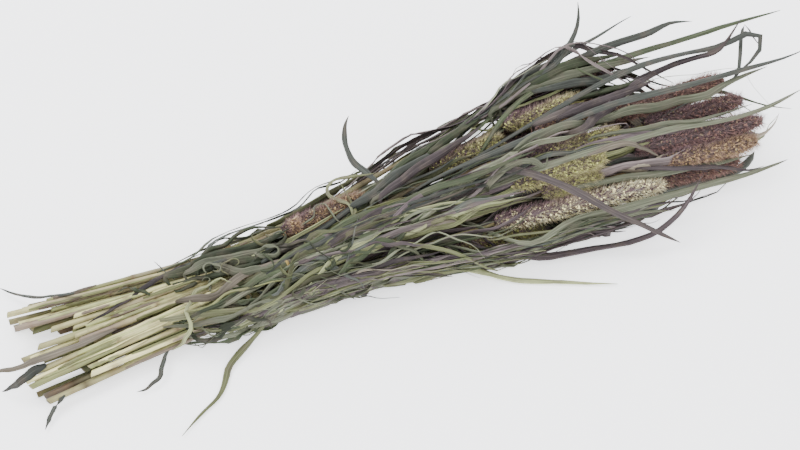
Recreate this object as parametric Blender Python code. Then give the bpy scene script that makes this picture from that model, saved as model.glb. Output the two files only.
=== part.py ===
"""Dried foxtail millet: leafy stalks with seed heads, gathered by a band and laid on their side.

Metres, +Z up. +X runs from the cut stem ends to the seed heads, and Z 0 is the table.
A station is a distance along +X from the cut ends, and across is +Y.
A turn goes once round the bunch's outline: 0 to 0.25 is its far side from the table up, 0.25 to 0.5 its top,
0.5 to 0.75 its near side down to the table, and the rest is its underside.
"""

import math

import bmesh
import bpy
import numpy as np
from mathutils import Matrix, Vector
from mathutils.bvhtree import BVHTree

# Driving dimensions, in metres
BUNCH_LENGTH = 0.70
STEM_RADIUS_CUT = 0.0033
STEM_RADIUS_NECK = 0.0017
STEM_CUT_SPREAD = 0.060
BAND_STATION = 0.195
BAND_WIDTH = 0.005
BAND_THICKNESS = 0.0014
LEAF_THICKNESS = 0.0009
LEAF_HALF_WIDTH = 0.0036
BLADE_ARCH = 0.16
FIT_GAP = 0.0004
STALK_GAP = 0.0007
TABLE_GAP = 0.0012
HEAD_REST_DEPTH = 0.0018
CUT_REST_DEPTH = 0.0013

# Seed heads that show: (station, across, height) of base and tip, and the radius
SHOWN_HEADS = (
    ((0.242, 0.015, 0.036), (0.319, 0.030, 0.040), 0.0085),
    ((0.383, 0.032, 0.042), (0.454, 0.050, 0.048), 0.0085),
    ((0.461, 0.061, 0.045), (0.537, 0.053, 0.052), 0.0085),
    ((0.490, 0.091, 0.035), (0.584, 0.091, 0.038), 0.0095),
    ((0.482, 0.042, 0.050), (0.538, 0.036, 0.050), 0.0080),
    ((0.464, 0.012, 0.056), (0.548, -0.002, 0.060), 0.0085),
    ((0.439, -0.013, 0.055), (0.525, -0.022, 0.062), 0.0080),
    ((0.464, -0.022, 0.040), (0.519, -0.032, 0.048), 0.0075),
    ((0.416, -0.025, 0.036), (0.571, -0.054, 0.030), 0.0085),
    ((0.371, -0.021, 0.016), (0.458, -0.040, 0.018), 0.0080),
    ((0.556, 0.030, 0.052), (0.664, 0.027, 0.050), 0.0090),
    ((0.580, 0.020, 0.038), (0.674, 0.005, 0.040), 0.0080),
    ((0.557, -0.009, 0.050), (0.678, -0.028, 0.042), 0.0085),
    ((0.576, -0.021, 0.036), (0.667, -0.038, 0.034), 0.0080),
    ((0.571, -0.018, 0.026), (0.652, -0.045, 0.022), 0.0085),
)

# Seed heads underneath, in layers: (station of the bases, height, across from, across to, how many)
HIDDEN_LAYERS = (
    (0.455, 0.010, -0.030, 0.086, 6),
    (0.440, 0.029, -0.004, 0.074, 4),
    (0.570, 0.011, -0.020, 0.050, 4),
)
HIDDEN_RADIUS = 0.0088
HIDDEN_LENGTHS = (0.085, 0.115)
HEAD_STAGGER = 0.022

# Stalks whose seed head or cut end rests on the table
REST_HEADS = (15, 20)
REST_CUTS = 0.10
REST_CUT_PLACE = 0.86
REST_CUT_START = 0.004

# The bundle of stems, at a station: half its width, and its height
STEM_BUNDLE = ((0.0, 0.047, 0.016), (0.10, 0.034, 0.020), (0.195, 0.026, 0.026), (0.30, 0.030, 0.034))
BUNDLE_LIFT = ((0.10, 0.0), (0.16, 0.003), (0.24, 0.003), (0.32, 0.0))
SWAY = 0.008
CUT_CROWDING = 1.6
LEAVE_BUNDLE = 0.24
LEAVE_BEFORE_HEAD = 0.09

# Leaves that stray from the bunch: half width, then (station, across, height) from the root to the tip
STRAY_LEAVES = (
    (
        0.0034,
        (
            (0.425, 0.030, 0.050), (0.500, 0.068, 0.062), (0.600, 0.078, 0.056), (0.705, 0.082, 0.050),
            (0.754, 0.085, 0.045),
        ),
    ),
    (
        0.0030,
        (
            (0.420, 0.062, 0.036), (0.470, 0.082, 0.050), (0.540, 0.101, 0.054), (0.613, 0.114, 0.064),
        ),
    ),
    (
        0.0030,
        (
            (0.400, 0.045, 0.045), (0.470, 0.072, 0.064), (0.527, 0.087, 0.070), (0.553, 0.107, 0.076),
            (0.566, 0.130, 0.086),
        ),
    ),
    (
        0.0034,
        (
            (0.392, -0.034, 0.020), (0.480, -0.060, 0.040), (0.576, -0.066, 0.040),
            (0.655, -0.064, 0.030), (0.690, -0.058, 0.022),
        ),
    ),
    (
        0.0034,
        (
            (0.388, 0.014, 0.050), (0.500, 0.036, 0.070), (0.600, 0.056, 0.068), (0.672, 0.052, 0.064),
            (0.700, 0.050, 0.074), (0.706, 0.036, 0.074), (0.690, 0.026, 0.064), (0.676, 0.022, 0.060),
        ),
    ),
    (
        0.0034,
        (
            (0.375, -0.012, 0.045), (0.440, -0.016, 0.066), (0.520, -0.020, 0.074),
            (0.600, -0.018, 0.064), (0.681, -0.022, 0.052), (0.731, -0.002, 0.038),
        ),
    ),
    (
        0.0034,
        (
            (0.372, -0.036, 0.016), (0.421, -0.054, 0.014), (0.450, -0.066, 0.009),
            (0.500, -0.077, 0.011), (0.548, -0.085, 0.020), (0.579, -0.077, 0.036),
            (0.598, -0.064, 0.050),
        ),
    ),
    (
        0.0042,
        (
            (0.362, 0.000, 0.050), (0.426, -0.006, 0.072), (0.470, -0.040, 0.076),
            (0.500, -0.068, 0.062), (0.546, -0.096, 0.034), (0.560, -0.106, 0.026),
        ),
    ),
    (
        0.0034,
        (
            (0.350, 0.012, 0.045), (0.430, 0.012, 0.066), (0.520, 0.016, 0.078), (0.600, 0.018, 0.074),
            (0.700, 0.020, 0.062), (0.752, 0.032, 0.048),
        ),
    ),
    (
        0.0030,
        (
            (0.340, -0.034, 0.014), (0.380, -0.052, 0.010), (0.415, -0.074, 0.004),
            (0.455, -0.092, 0.0026), (0.500, -0.112, 0.0024),
        ),
    ),
    (
        0.0030,
        (
            (0.338, 0.018, 0.040), (0.328, 0.042, 0.052), (0.320, 0.064, 0.056), (0.324, 0.086, 0.062),
            (0.332, 0.097, 0.068),
        ),
    ),
    (
        0.0030,
        (
            (0.218, -0.036, 0.014), (0.184, -0.054, 0.008), (0.160, -0.070, 0.004),
            (0.146, -0.089, 0.0026), (0.104, -0.116, 0.0024),
        ),
    ),
    (
        0.0026,
        (
            (0.165, 0.026, 0.030), (0.135, 0.020, 0.034), (0.101, 0.011, 0.030), (0.061, 0.000, 0.027),
        ),
    ),
    (
        0.0036,
        (
            (0.085, -0.012, 0.020), (0.045, -0.016, 0.026), (0.010, -0.018, 0.028),
            (-0.012, -0.020, 0.022), (-0.024, -0.022, 0.012),
        ),
    ),
    (
        0.0016,
        (
            (0.080, 0.020, 0.020), (0.040, 0.042, 0.020), (0.015, 0.062, 0.010), (0.002, 0.078, 0.004),
        ),
    ),
)

# Settling: the stations at which a stalk may bend, and how it is pushed clear of its neighbours
STATION_COUNT = 15
CHECKS_PER_SPAN = 4
SETTLE_STEPS = 420
PUSH_SHARE = 1.4
HELD_SHARE = 0.5
PULL_SHARE = 0.04
BAND_PULL_SHARE = 0.25
BAND_PULL_REACH = 0.04
STIFFNESS = 0.15
SHAPING_STEPS = 0.65 * SETTLE_STEPS
ROUND_CUT_END = 0.02
ROUND_HEAD_TIP = 0.006
HEAD_START = 0.005
SEED = 11

# The leaves: root stations from the last to the first, and the turns that they may start from
LEAF_COUNT = 92
LEAF_TRIES = 40
LEAF_ROOTS = (0.43, 0.13)
LEAF_TURNS = (0.06, 0.69)
LEAF_LENGTHS = (0.15, 0.32)
LEAF_RINGS = 9
LEAF_DRIFT = 0.10
LEAF_BEND = 0.15
ROOT_JITTER = 0.006

# Half width along a leaf, and along one that strays: shares of its length, then shares of the half width
LEAF_OUTLINE = ((0.0, 0.05, 0.2, 0.55, 0.85, 1.0), (0.0, 0.5, 0.85, 1.0, 0.6, 0.02))
STRAY_OUTLINE = ((0.0, 0.12, 0.3, 0.6, 0.85, 1.0), (0.0, 0.7, 1.0, 0.95, 0.55, 0.02))

# How leaves are rooted in their stems and laid on the pile
ROOT_HALF_WIDTH = 0.0012
ROOT_DEPTH = 0.0013
ROOT_RISE = 0.016
MOST_BUMP = 0.015
BLADE_SAG = 0.004
GOLDEN_TURN = 0.618034
STRAY_STEPS = 2
LOWEST_LEAF = 0.0024
STRAY_PUSHES = 8
STRAY_RAYS = 4
PILE_STEP = 0.005
PILE_RAYS = 240
PILE_BEYOND = 0.13
PILE_HOLD = 0.035
PILE_EASE = 8
LEAST_REACH = 0.004
MOST_OVER_HEADS = 1
LOWEST_RULE_LEAF = 0.0012
TURN_LIMITS = (0.03, 0.72)
BARE_SHARE = 0.85
STRAY_ROOT_REACH = 0.12

STEM_SIDES = 5
SHOWN_SIDES, SHOWN_RINGS = 10, 13
HIDDEN_SIDES, HIDDEN_RINGS = 8, 9
BAND_SIDES = 24

FINISHES = {
    "straw": ((0.55, 0.50, 0.28), 0.6),
    "seed_head": ((0.28, 0.17, 0.12), 0.85),
    "tie": ((0.60, 0.42, 0.22), 0.7),
}


def clear_scene():
    for item in list(bpy.data.objects):
        bpy.data.objects.remove(item)


def finish(name):
    """The material of that name, made the first time it is asked for."""
    material = bpy.data.materials.get(name)
    if material is None:
        colour, roughness = FINISHES[name]
        material = bpy.data.materials.new(name)
        material.use_nodes = True
        shader = material.node_tree.nodes["Principled BSDF"]
        shader.inputs["Base Color"].default_value = (*colour, 1.0)
        shader.inputs["Roughness"].default_value = roughness
        shader.inputs["Metallic"].default_value = 0.0
    return material


def add_object(name, mesh_data, finish_name):
    """A scene object made from a bmesh, which it frees."""
    mesh = bpy.data.meshes.new(name)
    mesh_data.to_mesh(mesh)
    mesh_data.free()
    mesh.materials.append(finish(finish_name))
    made = bpy.data.objects.new(name, mesh)
    bpy.context.scene.collection.objects.link(made)
    return made


def head_places(rng):
    """Base, tip and radius of every seed head: those that show, then the layers underneath."""
    places = [(np.array(base), np.array(tip), radius) for base, tip, radius in SHOWN_HEADS]
    for station, layer, first, last, count in HIDDEN_LAYERS:
        for across in np.linspace(first, last, count):
            height = HIDDEN_RADIUS - HEAD_REST_DEPTH if len(places) in REST_HEADS else layer
            base = np.array((station + rng.uniform(-HEAD_STAGGER, HEAD_STAGGER), across, height))
            lean = 0.10 * (0.03 - across)
            tip = base + np.array((rng.uniform(*HIDDEN_LENGTHS), lean, 0.0))
            places.append((base, tip, HIDDEN_RADIUS))
    return places


def rank(values):
    """Each value's place in order, from 0 for the lowest to 1 for the highest."""
    return np.argsort(np.argsort(values)) / (len(values) - 1)


def plan_stalks(rng):
    """Each stalk's cut end, seed head and place in the bundle."""
    places = head_places(rng)
    acrosses = rank([(base[1] + tip[1]) / 2 for base, tip, _ in places])
    heights = rank([(base[2] + tip[2]) / 2 + 0.1 * abs(base[1]) for base, tip, _ in places])
    stalks = []
    for index, (base, tip, radius) in enumerate(places):
        stalks.append(
            {
                "base": base,
                "tip": tip,
                "radius": radius,
                "across": 2 * acrosses[index] - 1,
                "height": heights[index],
                "cut": STEM_CUT_SPREAD * rng.uniform() ** CUT_CROWDING,
                "head_rests": index in REST_HEADS,
                "cut_rests": False,
                "sway": rng.uniform(-SWAY, SWAY),
            }
        )
    for side in (-1, 1):
        outer = min(stalks, key=lambda stalk: abs(stalk["across"] - REST_CUT_PLACE * side) + stalk["height"])
        outer["cut_rests"] = True
        outer["cut"] = REST_CUT_START
    return stalks


def stem_radius(stalk, station):
    taper = station / stalk["base"][0]
    return STEM_RADIUS_CUT + (STEM_RADIUS_NECK - STEM_RADIUS_CUT) * taper


def stalk_radius(stalk, station):
    """Half the stalk's thickness at a station: stem, then seed head, then nothing."""
    if station < stalk["cut"] - ROUND_CUT_END or station > stalk["tip"][0] + ROUND_HEAD_TIP:
        return 0.0
    if stalk["base"][0] - HEAD_START <= station:
        return stalk["radius"]
    return stem_radius(stalk, station)


def wanted_place(stalk, station):
    """(across, height) where the stalk would lie at a station if it had no neighbours."""
    at, half_widths, highs = zip(*STEM_BUNDLE)
    loose = max(0.0, 1 - station / BAND_STATION)
    across = stalk["across"] * np.interp(station, at, half_widths) + stalk["sway"] * loose
    height = STEM_RADIUS_CUT + np.interp(station, *zip(*BUNDLE_LIFT))
    height += stalk["height"] * np.interp(station, at, highs)
    bundle = np.array((across, height))
    if stalk["cut_rests"] and station < REST_CUTS:
        bundle[1] = stem_radius(stalk, station) + table_gap(stalk, station)
    base, tip = stalk["base"], stalk["tip"]
    if station >= base[0]:
        along = min((station - base[0]) / (tip[0] - base[0]), 1.0)
        return base[1:] + (tip[1:] - base[1:]) * along
    leave = min(LEAVE_BUNDLE, base[0] - LEAVE_BEFORE_HEAD)
    along = np.clip((station - leave) / (base[0] - leave), 0.0, 1.0)
    along = along * along * (3 - 2 * along)
    return bundle + (base[1:] - bundle) * along


def table_gap(stalk, station):
    """The gap that the stalk keeps to the table, below 0 where it rests on a flat spot."""
    if stalk["head_rests"] and station > stalk["base"][0] - 0.03:
        return -HEAD_REST_DEPTH
    if stalk["cut_rests"] and station < REST_CUTS:
        return -CUT_REST_DEPTH
    return TABLE_GAP + np.interp(station, *zip(*BUNDLE_LIFT))


def settle(stalks):
    """(stations, points[stalk, station]) of the stalks once pushed clear of each other and of the table."""
    stations = np.linspace(0.0, BUNCH_LENGTH, STATION_COUNT)
    checks = np.linspace(0.0, BUNCH_LENGTH, (STATION_COUNT - 1) * CHECKS_PER_SPAN + 1)
    blend = np.maximum(0.0, 1.0 - np.abs(checks[:, None] - stations[None]) / (stations[1] - stations[0]))
    wanted = np.array([[wanted_place(stalk, s) for s in stations] for stalk in stalks])
    radii = np.array([[stalk_radius(stalk, s) for s in checks] for stalk in stalks])
    lowest = radii + np.array([[table_gap(stalk, s) for s in checks] for stalk in stalks])
    both = (radii[:, None] > 0) & (radii[None] > 0) & ~np.eye(len(stalks), dtype=bool)[:, :, None]
    reach = np.where(both, radii[:, None] + radii[None] + STALK_GAP, 0.0)
    held = np.array([[table_gap(stalk, s) < 0 for s in stations] for stalk in stalks])
    pull = PULL_SHARE + BAND_PULL_SHARE * np.exp(-(((stations - BAND_STATION) / BAND_PULL_REACH) ** 2))
    points = wanted.copy()
    for step in range(SETTLE_STEPS):
        at_checks = np.einsum("cs,nsk->nck", blend, points)
        away = at_checks[:, None] - at_checks[None]
        distance = np.linalg.norm(away, axis=3) + 1e-9
        overlap = np.clip(reach - distance, 0.0, None)
        push = (away / distance[..., None] * (overlap / 2)[..., None]).sum(axis=1)
        push[..., 1] += np.clip(lowest - at_checks[..., 1], 0.0, None) * (radii > 0)
        points += np.einsum("cs,nck->nsk", blend, push) / blend.sum(axis=0)[None, :, None] * PUSH_SHARE
        points[..., 1] += HELD_SHARE * held * (wanted[..., 1] - points[..., 1])
        if step < SHAPING_STEPS:
            points += pull[None, :, None] * (wanted - points)
            points[:, 1:-1] += STIFFNESS * (points[:, 2:] + points[:, :-2] - 2 * points[:, 1:-1])
    return stations, points


def place_at(stations, points, station):
    """The settled (across, height) of one stalk at a station."""
    return np.array((np.interp(station, stations, points[:, 0]), np.interp(station, stations, points[:, 1])))


def band_outline(stations, points, stalks):
    """(across, height) points of the band's inner face, tight round the stems."""
    outline = []
    for k in range(BAND_SIDES):
        angle = 2 * math.pi * k / BAND_SIDES
        outward = np.array((math.cos(angle), math.sin(angle)))
        rims = []
        for stalk, line in zip(stalks, points):
            middle = place_at(stations, line, BAND_STATION)
            rims.append(middle + (stem_radius(stalk, BAND_STATION) + 1.5 * FIT_GAP) * outward)
        outline.append(max(rims, key=lambda rim: rim @ outward))
    return np.array(outline)


def cross(a, b):
    return a[..., 0] * b[..., 1] - a[..., 1] * b[..., 0]


def outline_angle(turn):
    """The way that the outline faces at a turn, in radians up from across."""
    return np.radians(np.interp(turn, (0.0, 0.25, 0.5, 0.75, 1.0), (-90, 90, 90, 270, 270)))


def make_pile(stations, points, stalks, band):
    """The bunch's outside as depths along rays from its middle line, at rows along it."""
    rows = np.arange(0.0, BUNCH_LENGTH + PILE_BEYOND, PILE_STEP)
    turns = (np.arange(PILE_RAYS) + 0.5) / PILE_RAYS
    high, left, right = (np.zeros(len(rows)) for _ in range(3))
    discs = []
    for row, station in enumerate(rows):
        at = min(station, BUNCH_LENGTH - PILE_HOLD)
        found = [
            (index, place_at(stations, points[index], at), stalk_radius(stalk, at))
            for index, stalk in enumerate(stalks)
        ]
        found = [disc for disc in found if disc[2] > 0]
        discs.append(found if station <= BUNCH_LENGTH else [])
        left[row] = min(middle[0] - radius for _, middle, radius in found)
        right[row] = max(middle[0] + radius for _, middle, radius in found)
        high[row] = max(middle[1] + radius for _, middle, radius in found)
    weights = np.ones(2 * PILE_EASE + 1) / (2 * PILE_EASE + 1)
    left, right, high = (
        np.convolve(np.pad(values, PILE_EASE, mode="edge"), weights, mode="valid")
        for values in (left, right, high)
    )
    middle_height = high / 2
    pile = {
        "rows": rows,
        "turns": turns,
        "middle": (left + right) / 2,
        "height": middle_height,
        "reach": np.maximum((right - left) / 2 - middle_height, LEAST_REACH),
    }
    angles = outline_angle(turns)
    pile["outward"] = np.stack((np.cos(angles), np.sin(angles)), axis=-1)
    pile["origins"] = np.stack([outline_origin(pile, station, turns) for station in rows])
    depths = np.zeros((len(rows), PILE_RAYS))
    owners = np.full((len(rows), PILE_RAYS), -1)
    for row in range(len(rows)):
        for index, middle, radius in discs[row]:
            offset = middle - pile["origins"][row]
            along = (offset * pile["outward"]).sum(axis=1)
            beside = np.abs(cross(offset, pile["outward"]))
            hit = beside < radius
            depth = along + np.sqrt(np.clip(radius * radius - beside * beside, 0.0, None))
            better = hit & (depth > depths[row])
            depths[row][better] = depth[better]
            owners[row][better] = index
        if abs(rows[row] - BAND_STATION) < BAND_WIDTH / 2 + 0.004:
            loop = np.concatenate((band, band[:1]))
            for start, end in zip(loop, loop[1:]):
                depth = ray_depths(pile, np.array((row,)), start[None], end[None])[0]
                depths[row] = np.fmax(depths[row], depth + BAND_THICKNESS + FIT_GAP)
    pile["depths"] = depths
    pile["owners"] = owners
    pile["smooth"] = depths.copy()
    for shift in range(-PILE_EASE, PILE_EASE + 1):
        pile["smooth"] = np.maximum(pile["smooth"], np.roll(depths, shift, axis=1))
    return pile


def outline_origin(pile, station, turns):
    """(across, height) on the middle line, where the rays at these turns start."""
    middle = np.interp(station, pile["rows"], pile["middle"])
    height = np.interp(station, pile["rows"], pile["height"])
    reach = np.interp(station, pile["rows"], pile["reach"])
    along = np.interp(turns, (0.0, 0.25, 0.5, 0.75, 1.0), (1, 1, -1, -1, 1))
    return np.stack((middle + along * reach, height + 0 * along), axis=-1)


def ray_depths(pile, rows, starts, ends):
    """How far out each ray of each row meets the line from start to end, nan where it misses."""
    line = (ends - starts)[:, None]
    offset = starts[:, None] - pile["origins"][rows]
    outward = pile["outward"][None]
    slant = cross(outward, line)
    safe = np.where(np.abs(slant) < 0.15 * np.linalg.norm(line, axis=-1), np.nan, slant)
    depth = cross(offset, line) / safe
    share = cross(offset, outward) / safe
    return np.where((share > -0.25) & (share < 1.25) & (depth > 0), depth, np.nan)


def blade_sections(pile, leaf):
    """Left edge, rib and right edge, (across, height) at each ring of a leaf."""
    angles = outline_angle(leaf["turns"])
    outward = np.stack((np.cos(angles), np.sin(angles)), axis=-1)
    sideways = np.stack((-np.sin(angles), np.cos(angles)), axis=-1)
    origins = np.stack([outline_origin(pile, s, t) for s, t in zip(leaf["stations"], leaf["turns"])])
    rib = origins + leaf["depths"][:, None] * outward
    edge = rib - BLADE_ARCH * leaf["half_widths"][:, None] * outward
    reach = leaf["half_widths"][:, None] * sideways
    return edge - reach, rib, edge + reach, outward


def blade_depths(pile, leaf):
    """(rows, depth of the leaf's middle surface along each ray of those rows)."""
    left, rib, right, _ = blade_sections(pile, leaf)
    stations = leaf["stations"]
    rows = np.nonzero((pile["rows"] >= stations[0]) & (pile["rows"] <= stations[-1]))[0]
    at = pile["rows"][rows]
    left, rib, right = (
        np.stack([np.interp(at, stations, line[:, k]) for k in (0, 1)], axis=-1)
        for line in (left, rib, right)
    )
    return rows, np.fmin(ray_depths(pile, rows, left, rib), ray_depths(pile, rows, right, rib))


def lay_leaf(pile, leaf):
    """Lifts the leaf's rings until it clears everything under it, and says how high its worst bump is."""
    stations = leaf["stations"]
    surface = [
        np.interp(s, pile["rows"], pile["depths"][:, int(turn * PILE_RAYS) % PILE_RAYS])
        for s, turn in zip(stations, leaf["turns"])
    ]
    leaf["depths"] = np.array(surface)
    smooth = [
        np.interp(s, pile["rows"], pile["smooth"][:, int(turn * PILE_RAYS) % PILE_RAYS])
        for s, turn in zip(stations, leaf["turns"])
    ]
    leaf["depths"][0] -= ROOT_DEPTH
    held = leaf["depths"][0]
    for _ in range(14):
        rows, depths = blade_depths(pile, leaf)
        short = pile["depths"][rows] + FIT_GAP + LEAF_THICKNESS / 2 - depths
        short = np.where(np.isnan(short), 0.0, short).max(axis=1)
        at = pile["rows"][rows]
        short[at < stations[0] + ROOT_RISE] = 0.0
        for ring in range(1, len(stations)):
            before = stations[ring - 1]
            after = stations[ring + 1] if ring + 1 < len(stations) else stations[ring] + 1e-6
            share = np.interp(at, (before, stations[ring], after), (0.0, 1.0, 0.0))
            leaf["depths"][ring] += max(0.0, (1.05 * share * np.clip(short, 0.0, None)).max())
        bridged = (leaf["depths"][2:] + leaf["depths"][:-2]) / 2 - BLADE_SAG
        leaf["depths"][2:-1] = np.maximum(leaf["depths"][2:-1], bridged[1:])
        leaf["depths"][0] = held
    return (leaf["depths"] - np.array(smooth))[1:].max()


def cover_pile(pile, leaf):
    rows, depths = blade_depths(pile, leaf)
    pile["depths"][rows] = np.fmax(pile["depths"][rows], depths + LEAF_THICKNESS / 2)


def leaf_from(pile, station, turn, length, slope, bend, half_width):
    """An unlaid leaf rooted at a station and a turn, whose route drifts round the bunch as it goes along."""
    share = np.concatenate(((0.0, ROOT_RISE / length), np.linspace(0.16, 1.0, LEAF_RINGS - 1)))
    stations = station + length * share
    turns = [turn]
    for before, after, along in zip(stations, stations[1:], share[1:]):
        reach = np.interp(before, pile["rows"], pile["reach"])
        height = np.interp(before, pile["rows"], pile["height"])
        on_flat = 0.25 < turns[-1] < 0.5
        per_turn = 8 * reach if on_flat else 4 * math.pi * height
        turns.append(turns[-1] + (slope + bend * (along - 0.4)) * (after - before) / max(per_turn, 0.04))
    widths = half_width * np.interp(share, *LEAF_OUTLINE)
    widths[0] = ROOT_HALF_WIDTH
    return {"stations": stations, "turns": np.array(turns), "half_widths": widths}


def pile_spot(pile, point):
    """(row, ray, depth) of a point round the bunch."""
    middle, level, reach = (
        np.interp(point[0], pile["rows"], pile[key]) for key in ("middle", "height", "reach")
    )
    beside, above = point[1] - middle, point[2] - level
    if abs(beside) < reach:
        turn = 0.375 - 0.125 * beside / reach if above > 0 else 0.875 + 0.125 * beside / reach
        depth = abs(above)
    else:
        out = abs(beside) - reach
        side_turn = 0.25 * math.atan2(above, out) / math.pi
        turn = 0.125 + side_turn if beside > 0 else 0.625 - side_turn
        depth = math.hypot(above, out)
    row = min(max(int(round(point[0] / PILE_STEP)), 1), len(pile["rows"]) - 2)
    return row, int(turn * PILE_RAYS) % PILE_RAYS, depth


def outward_at(pile, ray):
    return np.array((0.0, *pile["outward"][ray]))


def smooth_path(points, steps):
    """A curve through the points, with this many steps between each two."""
    points = np.array(points)
    ends = np.concatenate((points[:1] * 2 - points[1:2], points, points[-1:] * 2 - points[-2:-1]))
    path = []
    for k in range(len(points) - 1):
        a, b, c, d = ends[k : k + 4]
        for share in np.arange(steps) / steps:
            bend = (2 * a - 5 * b + 4 * c - d) * share**2 + (3 * (b - c) + d - a) * share**3
            path.append((2 * b + (c - a) * share + bend) / 2)
    path.append(points[-1])
    return np.array(path)


def lay_stray(pile, stalks, half_width, points):
    """A blade along a hand-drawn route, rooted in the nearest bare stem and pushed clear of the bunch."""
    row, ray, _ = pile_spot(pile, points[0])
    turn, owner = root_spot(pile, stalks, points[0][0], pile["turns"][ray], STRAY_ROOT_REACH)
    if turn is None:
        return None
    path = smooth_path(points, STRAY_STEPS)
    root_ray = int(turn * PILE_RAYS)
    origin = pile["origins"][row][root_ray]
    depth = pile["depths"][row, root_ray] - ROOT_DEPTH
    path[0][1:] = origin + depth * pile["outward"][root_ray]
    shares = np.linspace(0.0, 1.0, len(path))
    widths = half_width * np.interp(shares, *STRAY_OUTLINE)
    widths[0] = ROOT_HALF_WIDTH
    spans = [(k, share) for k in range(len(path) - 1) for share in np.linspace(0.0, 1.0, 9)]
    for _ in range(STRAY_PUSHES):
        for k, share in spans:
            spot = path[k] + share * (path[k + 1] - path[k])
            if np.linalg.norm(spot - path[0]) < ROOT_RISE:
                continue
            row, ray, depth = pile_spot(pile, spot)
            rays = np.arange(ray - STRAY_RAYS + 1, ray + STRAY_RAYS) % PILE_RAYS
            short = pile["depths"][row - 1 : row + 2][:, rays].max() + LEAF_THICKNESS + FIT_GAP - depth
            if short > 0:
                path[k] += (k > 0) * (1 - share) * short * outward_at(pile, ray)
                path[k + 1] += share * short * outward_at(pile, ray)
        path[1:, 2] = np.maximum(path[1:, 2], LOWEST_LEAF)
    for k, share in spans:
        row, ray, depth = pile_spot(pile, path[k] + share * (path[k + 1] - path[k]))
        rays = np.arange(ray - STRAY_RAYS + 1, ray + STRAY_RAYS) % PILE_RAYS
        for near in (row - 1, row, row + 1):
            pile["depths"][near, rays] = np.maximum(pile["depths"][near, rays], depth + LEAF_THICKNESS)
    return {"stalk": owner, "sections": stray_sections(pile, path, widths)}


def stray_sections(pile, path, widths):
    """Left edge, rib, right edge and the way that the blade faces, at each point of its route."""
    sections = []
    for k, point in enumerate(path):
        along = path[min(k + 1, len(path) - 1)] - path[max(k - 1, 0)]
        along /= np.linalg.norm(along)
        share = min(1.0, 2.2 * k / (len(path) - 1))
        _, ray, _ = pile_spot(pile, point)
        facing = (1 - share) * outward_at(pile, ray) + share * np.array((0.0, 0.0, 1.0))
        sideways = np.cross(along, facing)
        sideways /= np.linalg.norm(sideways)
        facing = np.cross(sideways, along)
        edge = point - BLADE_ARCH * widths[k] * facing
        sections.append((edge - widths[k] * sideways, point, edge + widths[k] * sideways, facing))
    return sections


def root_spot(pile, stalks, station, turn, most=0.03):
    """(turn, stalk) of the bare stem nearest to a turn, or (None, None) if there is none close by."""
    row = int(round(station / PILE_STEP))
    found = []
    for ray in range(PILE_RAYS):
        owner = int(pile["owners"][row, ray])
        if owner < 0 or not stalks[owner]["cut"] + 0.03 < station < stalks[owner]["base"][0] - 0.03:
            continue
        allowed = LEAF_TURNS[0] <= pile["turns"][ray] <= LEAF_TURNS[1]
        if allowed and pile["depths"][row, ray] > BARE_SHARE * pile["smooth"][row, ray]:
            found.append((abs(pile["turns"][ray] - turn), float(pile["turns"][ray]), owner))
    if not found or min(found)[0] > most:
        return None, None
    return min(found)[1:]


def root_is_clear(stations, points, stalks, leaf, pile):
    """Whether the leaf's narrow root rises from its own stem past every other stalk."""
    left, rib, right, _ = blade_sections(pile, leaf)
    for along in (0.0, 0.25, 0.5, 0.75, 1.0):
        station = leaf["stations"][0] + along * (leaf["stations"][1] - leaf["stations"][0])
        spots = [line[0] + along * (line[1] - line[0]) for line in (left, rib, right)]
        for index, stalk in enumerate(stalks):
            room = stalk_radius(stalk, station)
            if index == leaf["stalk"] or room == 0:
                continue
            middle = place_at(stations, points[index], station)
            if min(np.linalg.norm(spot - middle) for spot in spots) < room + LEAF_THICKNESS / 2 + 0.0002:
                return False
    return True


def rings_over_heads(pile, stalks, leaf):
    """How many rings of a leaf lie over a seed head that should show."""
    rows = np.minimum((leaf["stations"] / PILE_STEP).round().astype(int), len(pile["rows"]) - 1)
    owners = pile["owners"][rows, (leaf["turns"] * PILE_RAYS).astype(int) % PILE_RAYS]
    return sum(
        0 <= owner < len(SHOWN_HEADS) and station > stalks[owner]["base"][0]
        for owner, station in zip(owners, leaf["stations"])
    )


def lowest_of(pile, leaf):
    left, rib, right, _ = blade_sections(pile, leaf)
    return min(line[1:, 1].min() for line in (left, rib, right))


def solids_laid(stations, points, stalks, band):
    """Search trees of all that lies there before the leaves, each with the stalk whose stem it is, or -1."""
    laid = [(-1, BVHTree.FromBMesh(band_mesh(band)))]
    for index, stalk in enumerate(stalks):
        laid.append((index, BVHTree.FromBMesh(stem_mesh(stations, points[index], stalk))))
        laid.append((-1, BVHTree.FromBMesh(head_mesh(stations, points[index], stalk, index))))
    return laid


def add_leaf(leaves, laid, leaf):
    """Keeps a leaf that grows out of its own stem and crosses no other stalk, head or leaf of another."""
    if leaf is None:
        return False
    tree = BVHTree.FromBMesh(leaf_mesh(leaf["sections"]))
    crossed = {owner for owner, other in laid if tree.overlap(other)}
    if crossed != {leaf["stalk"]}:
        return False
    laid.append((leaf["stalk"], tree))
    leaves.append(leaf)
    return True


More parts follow.
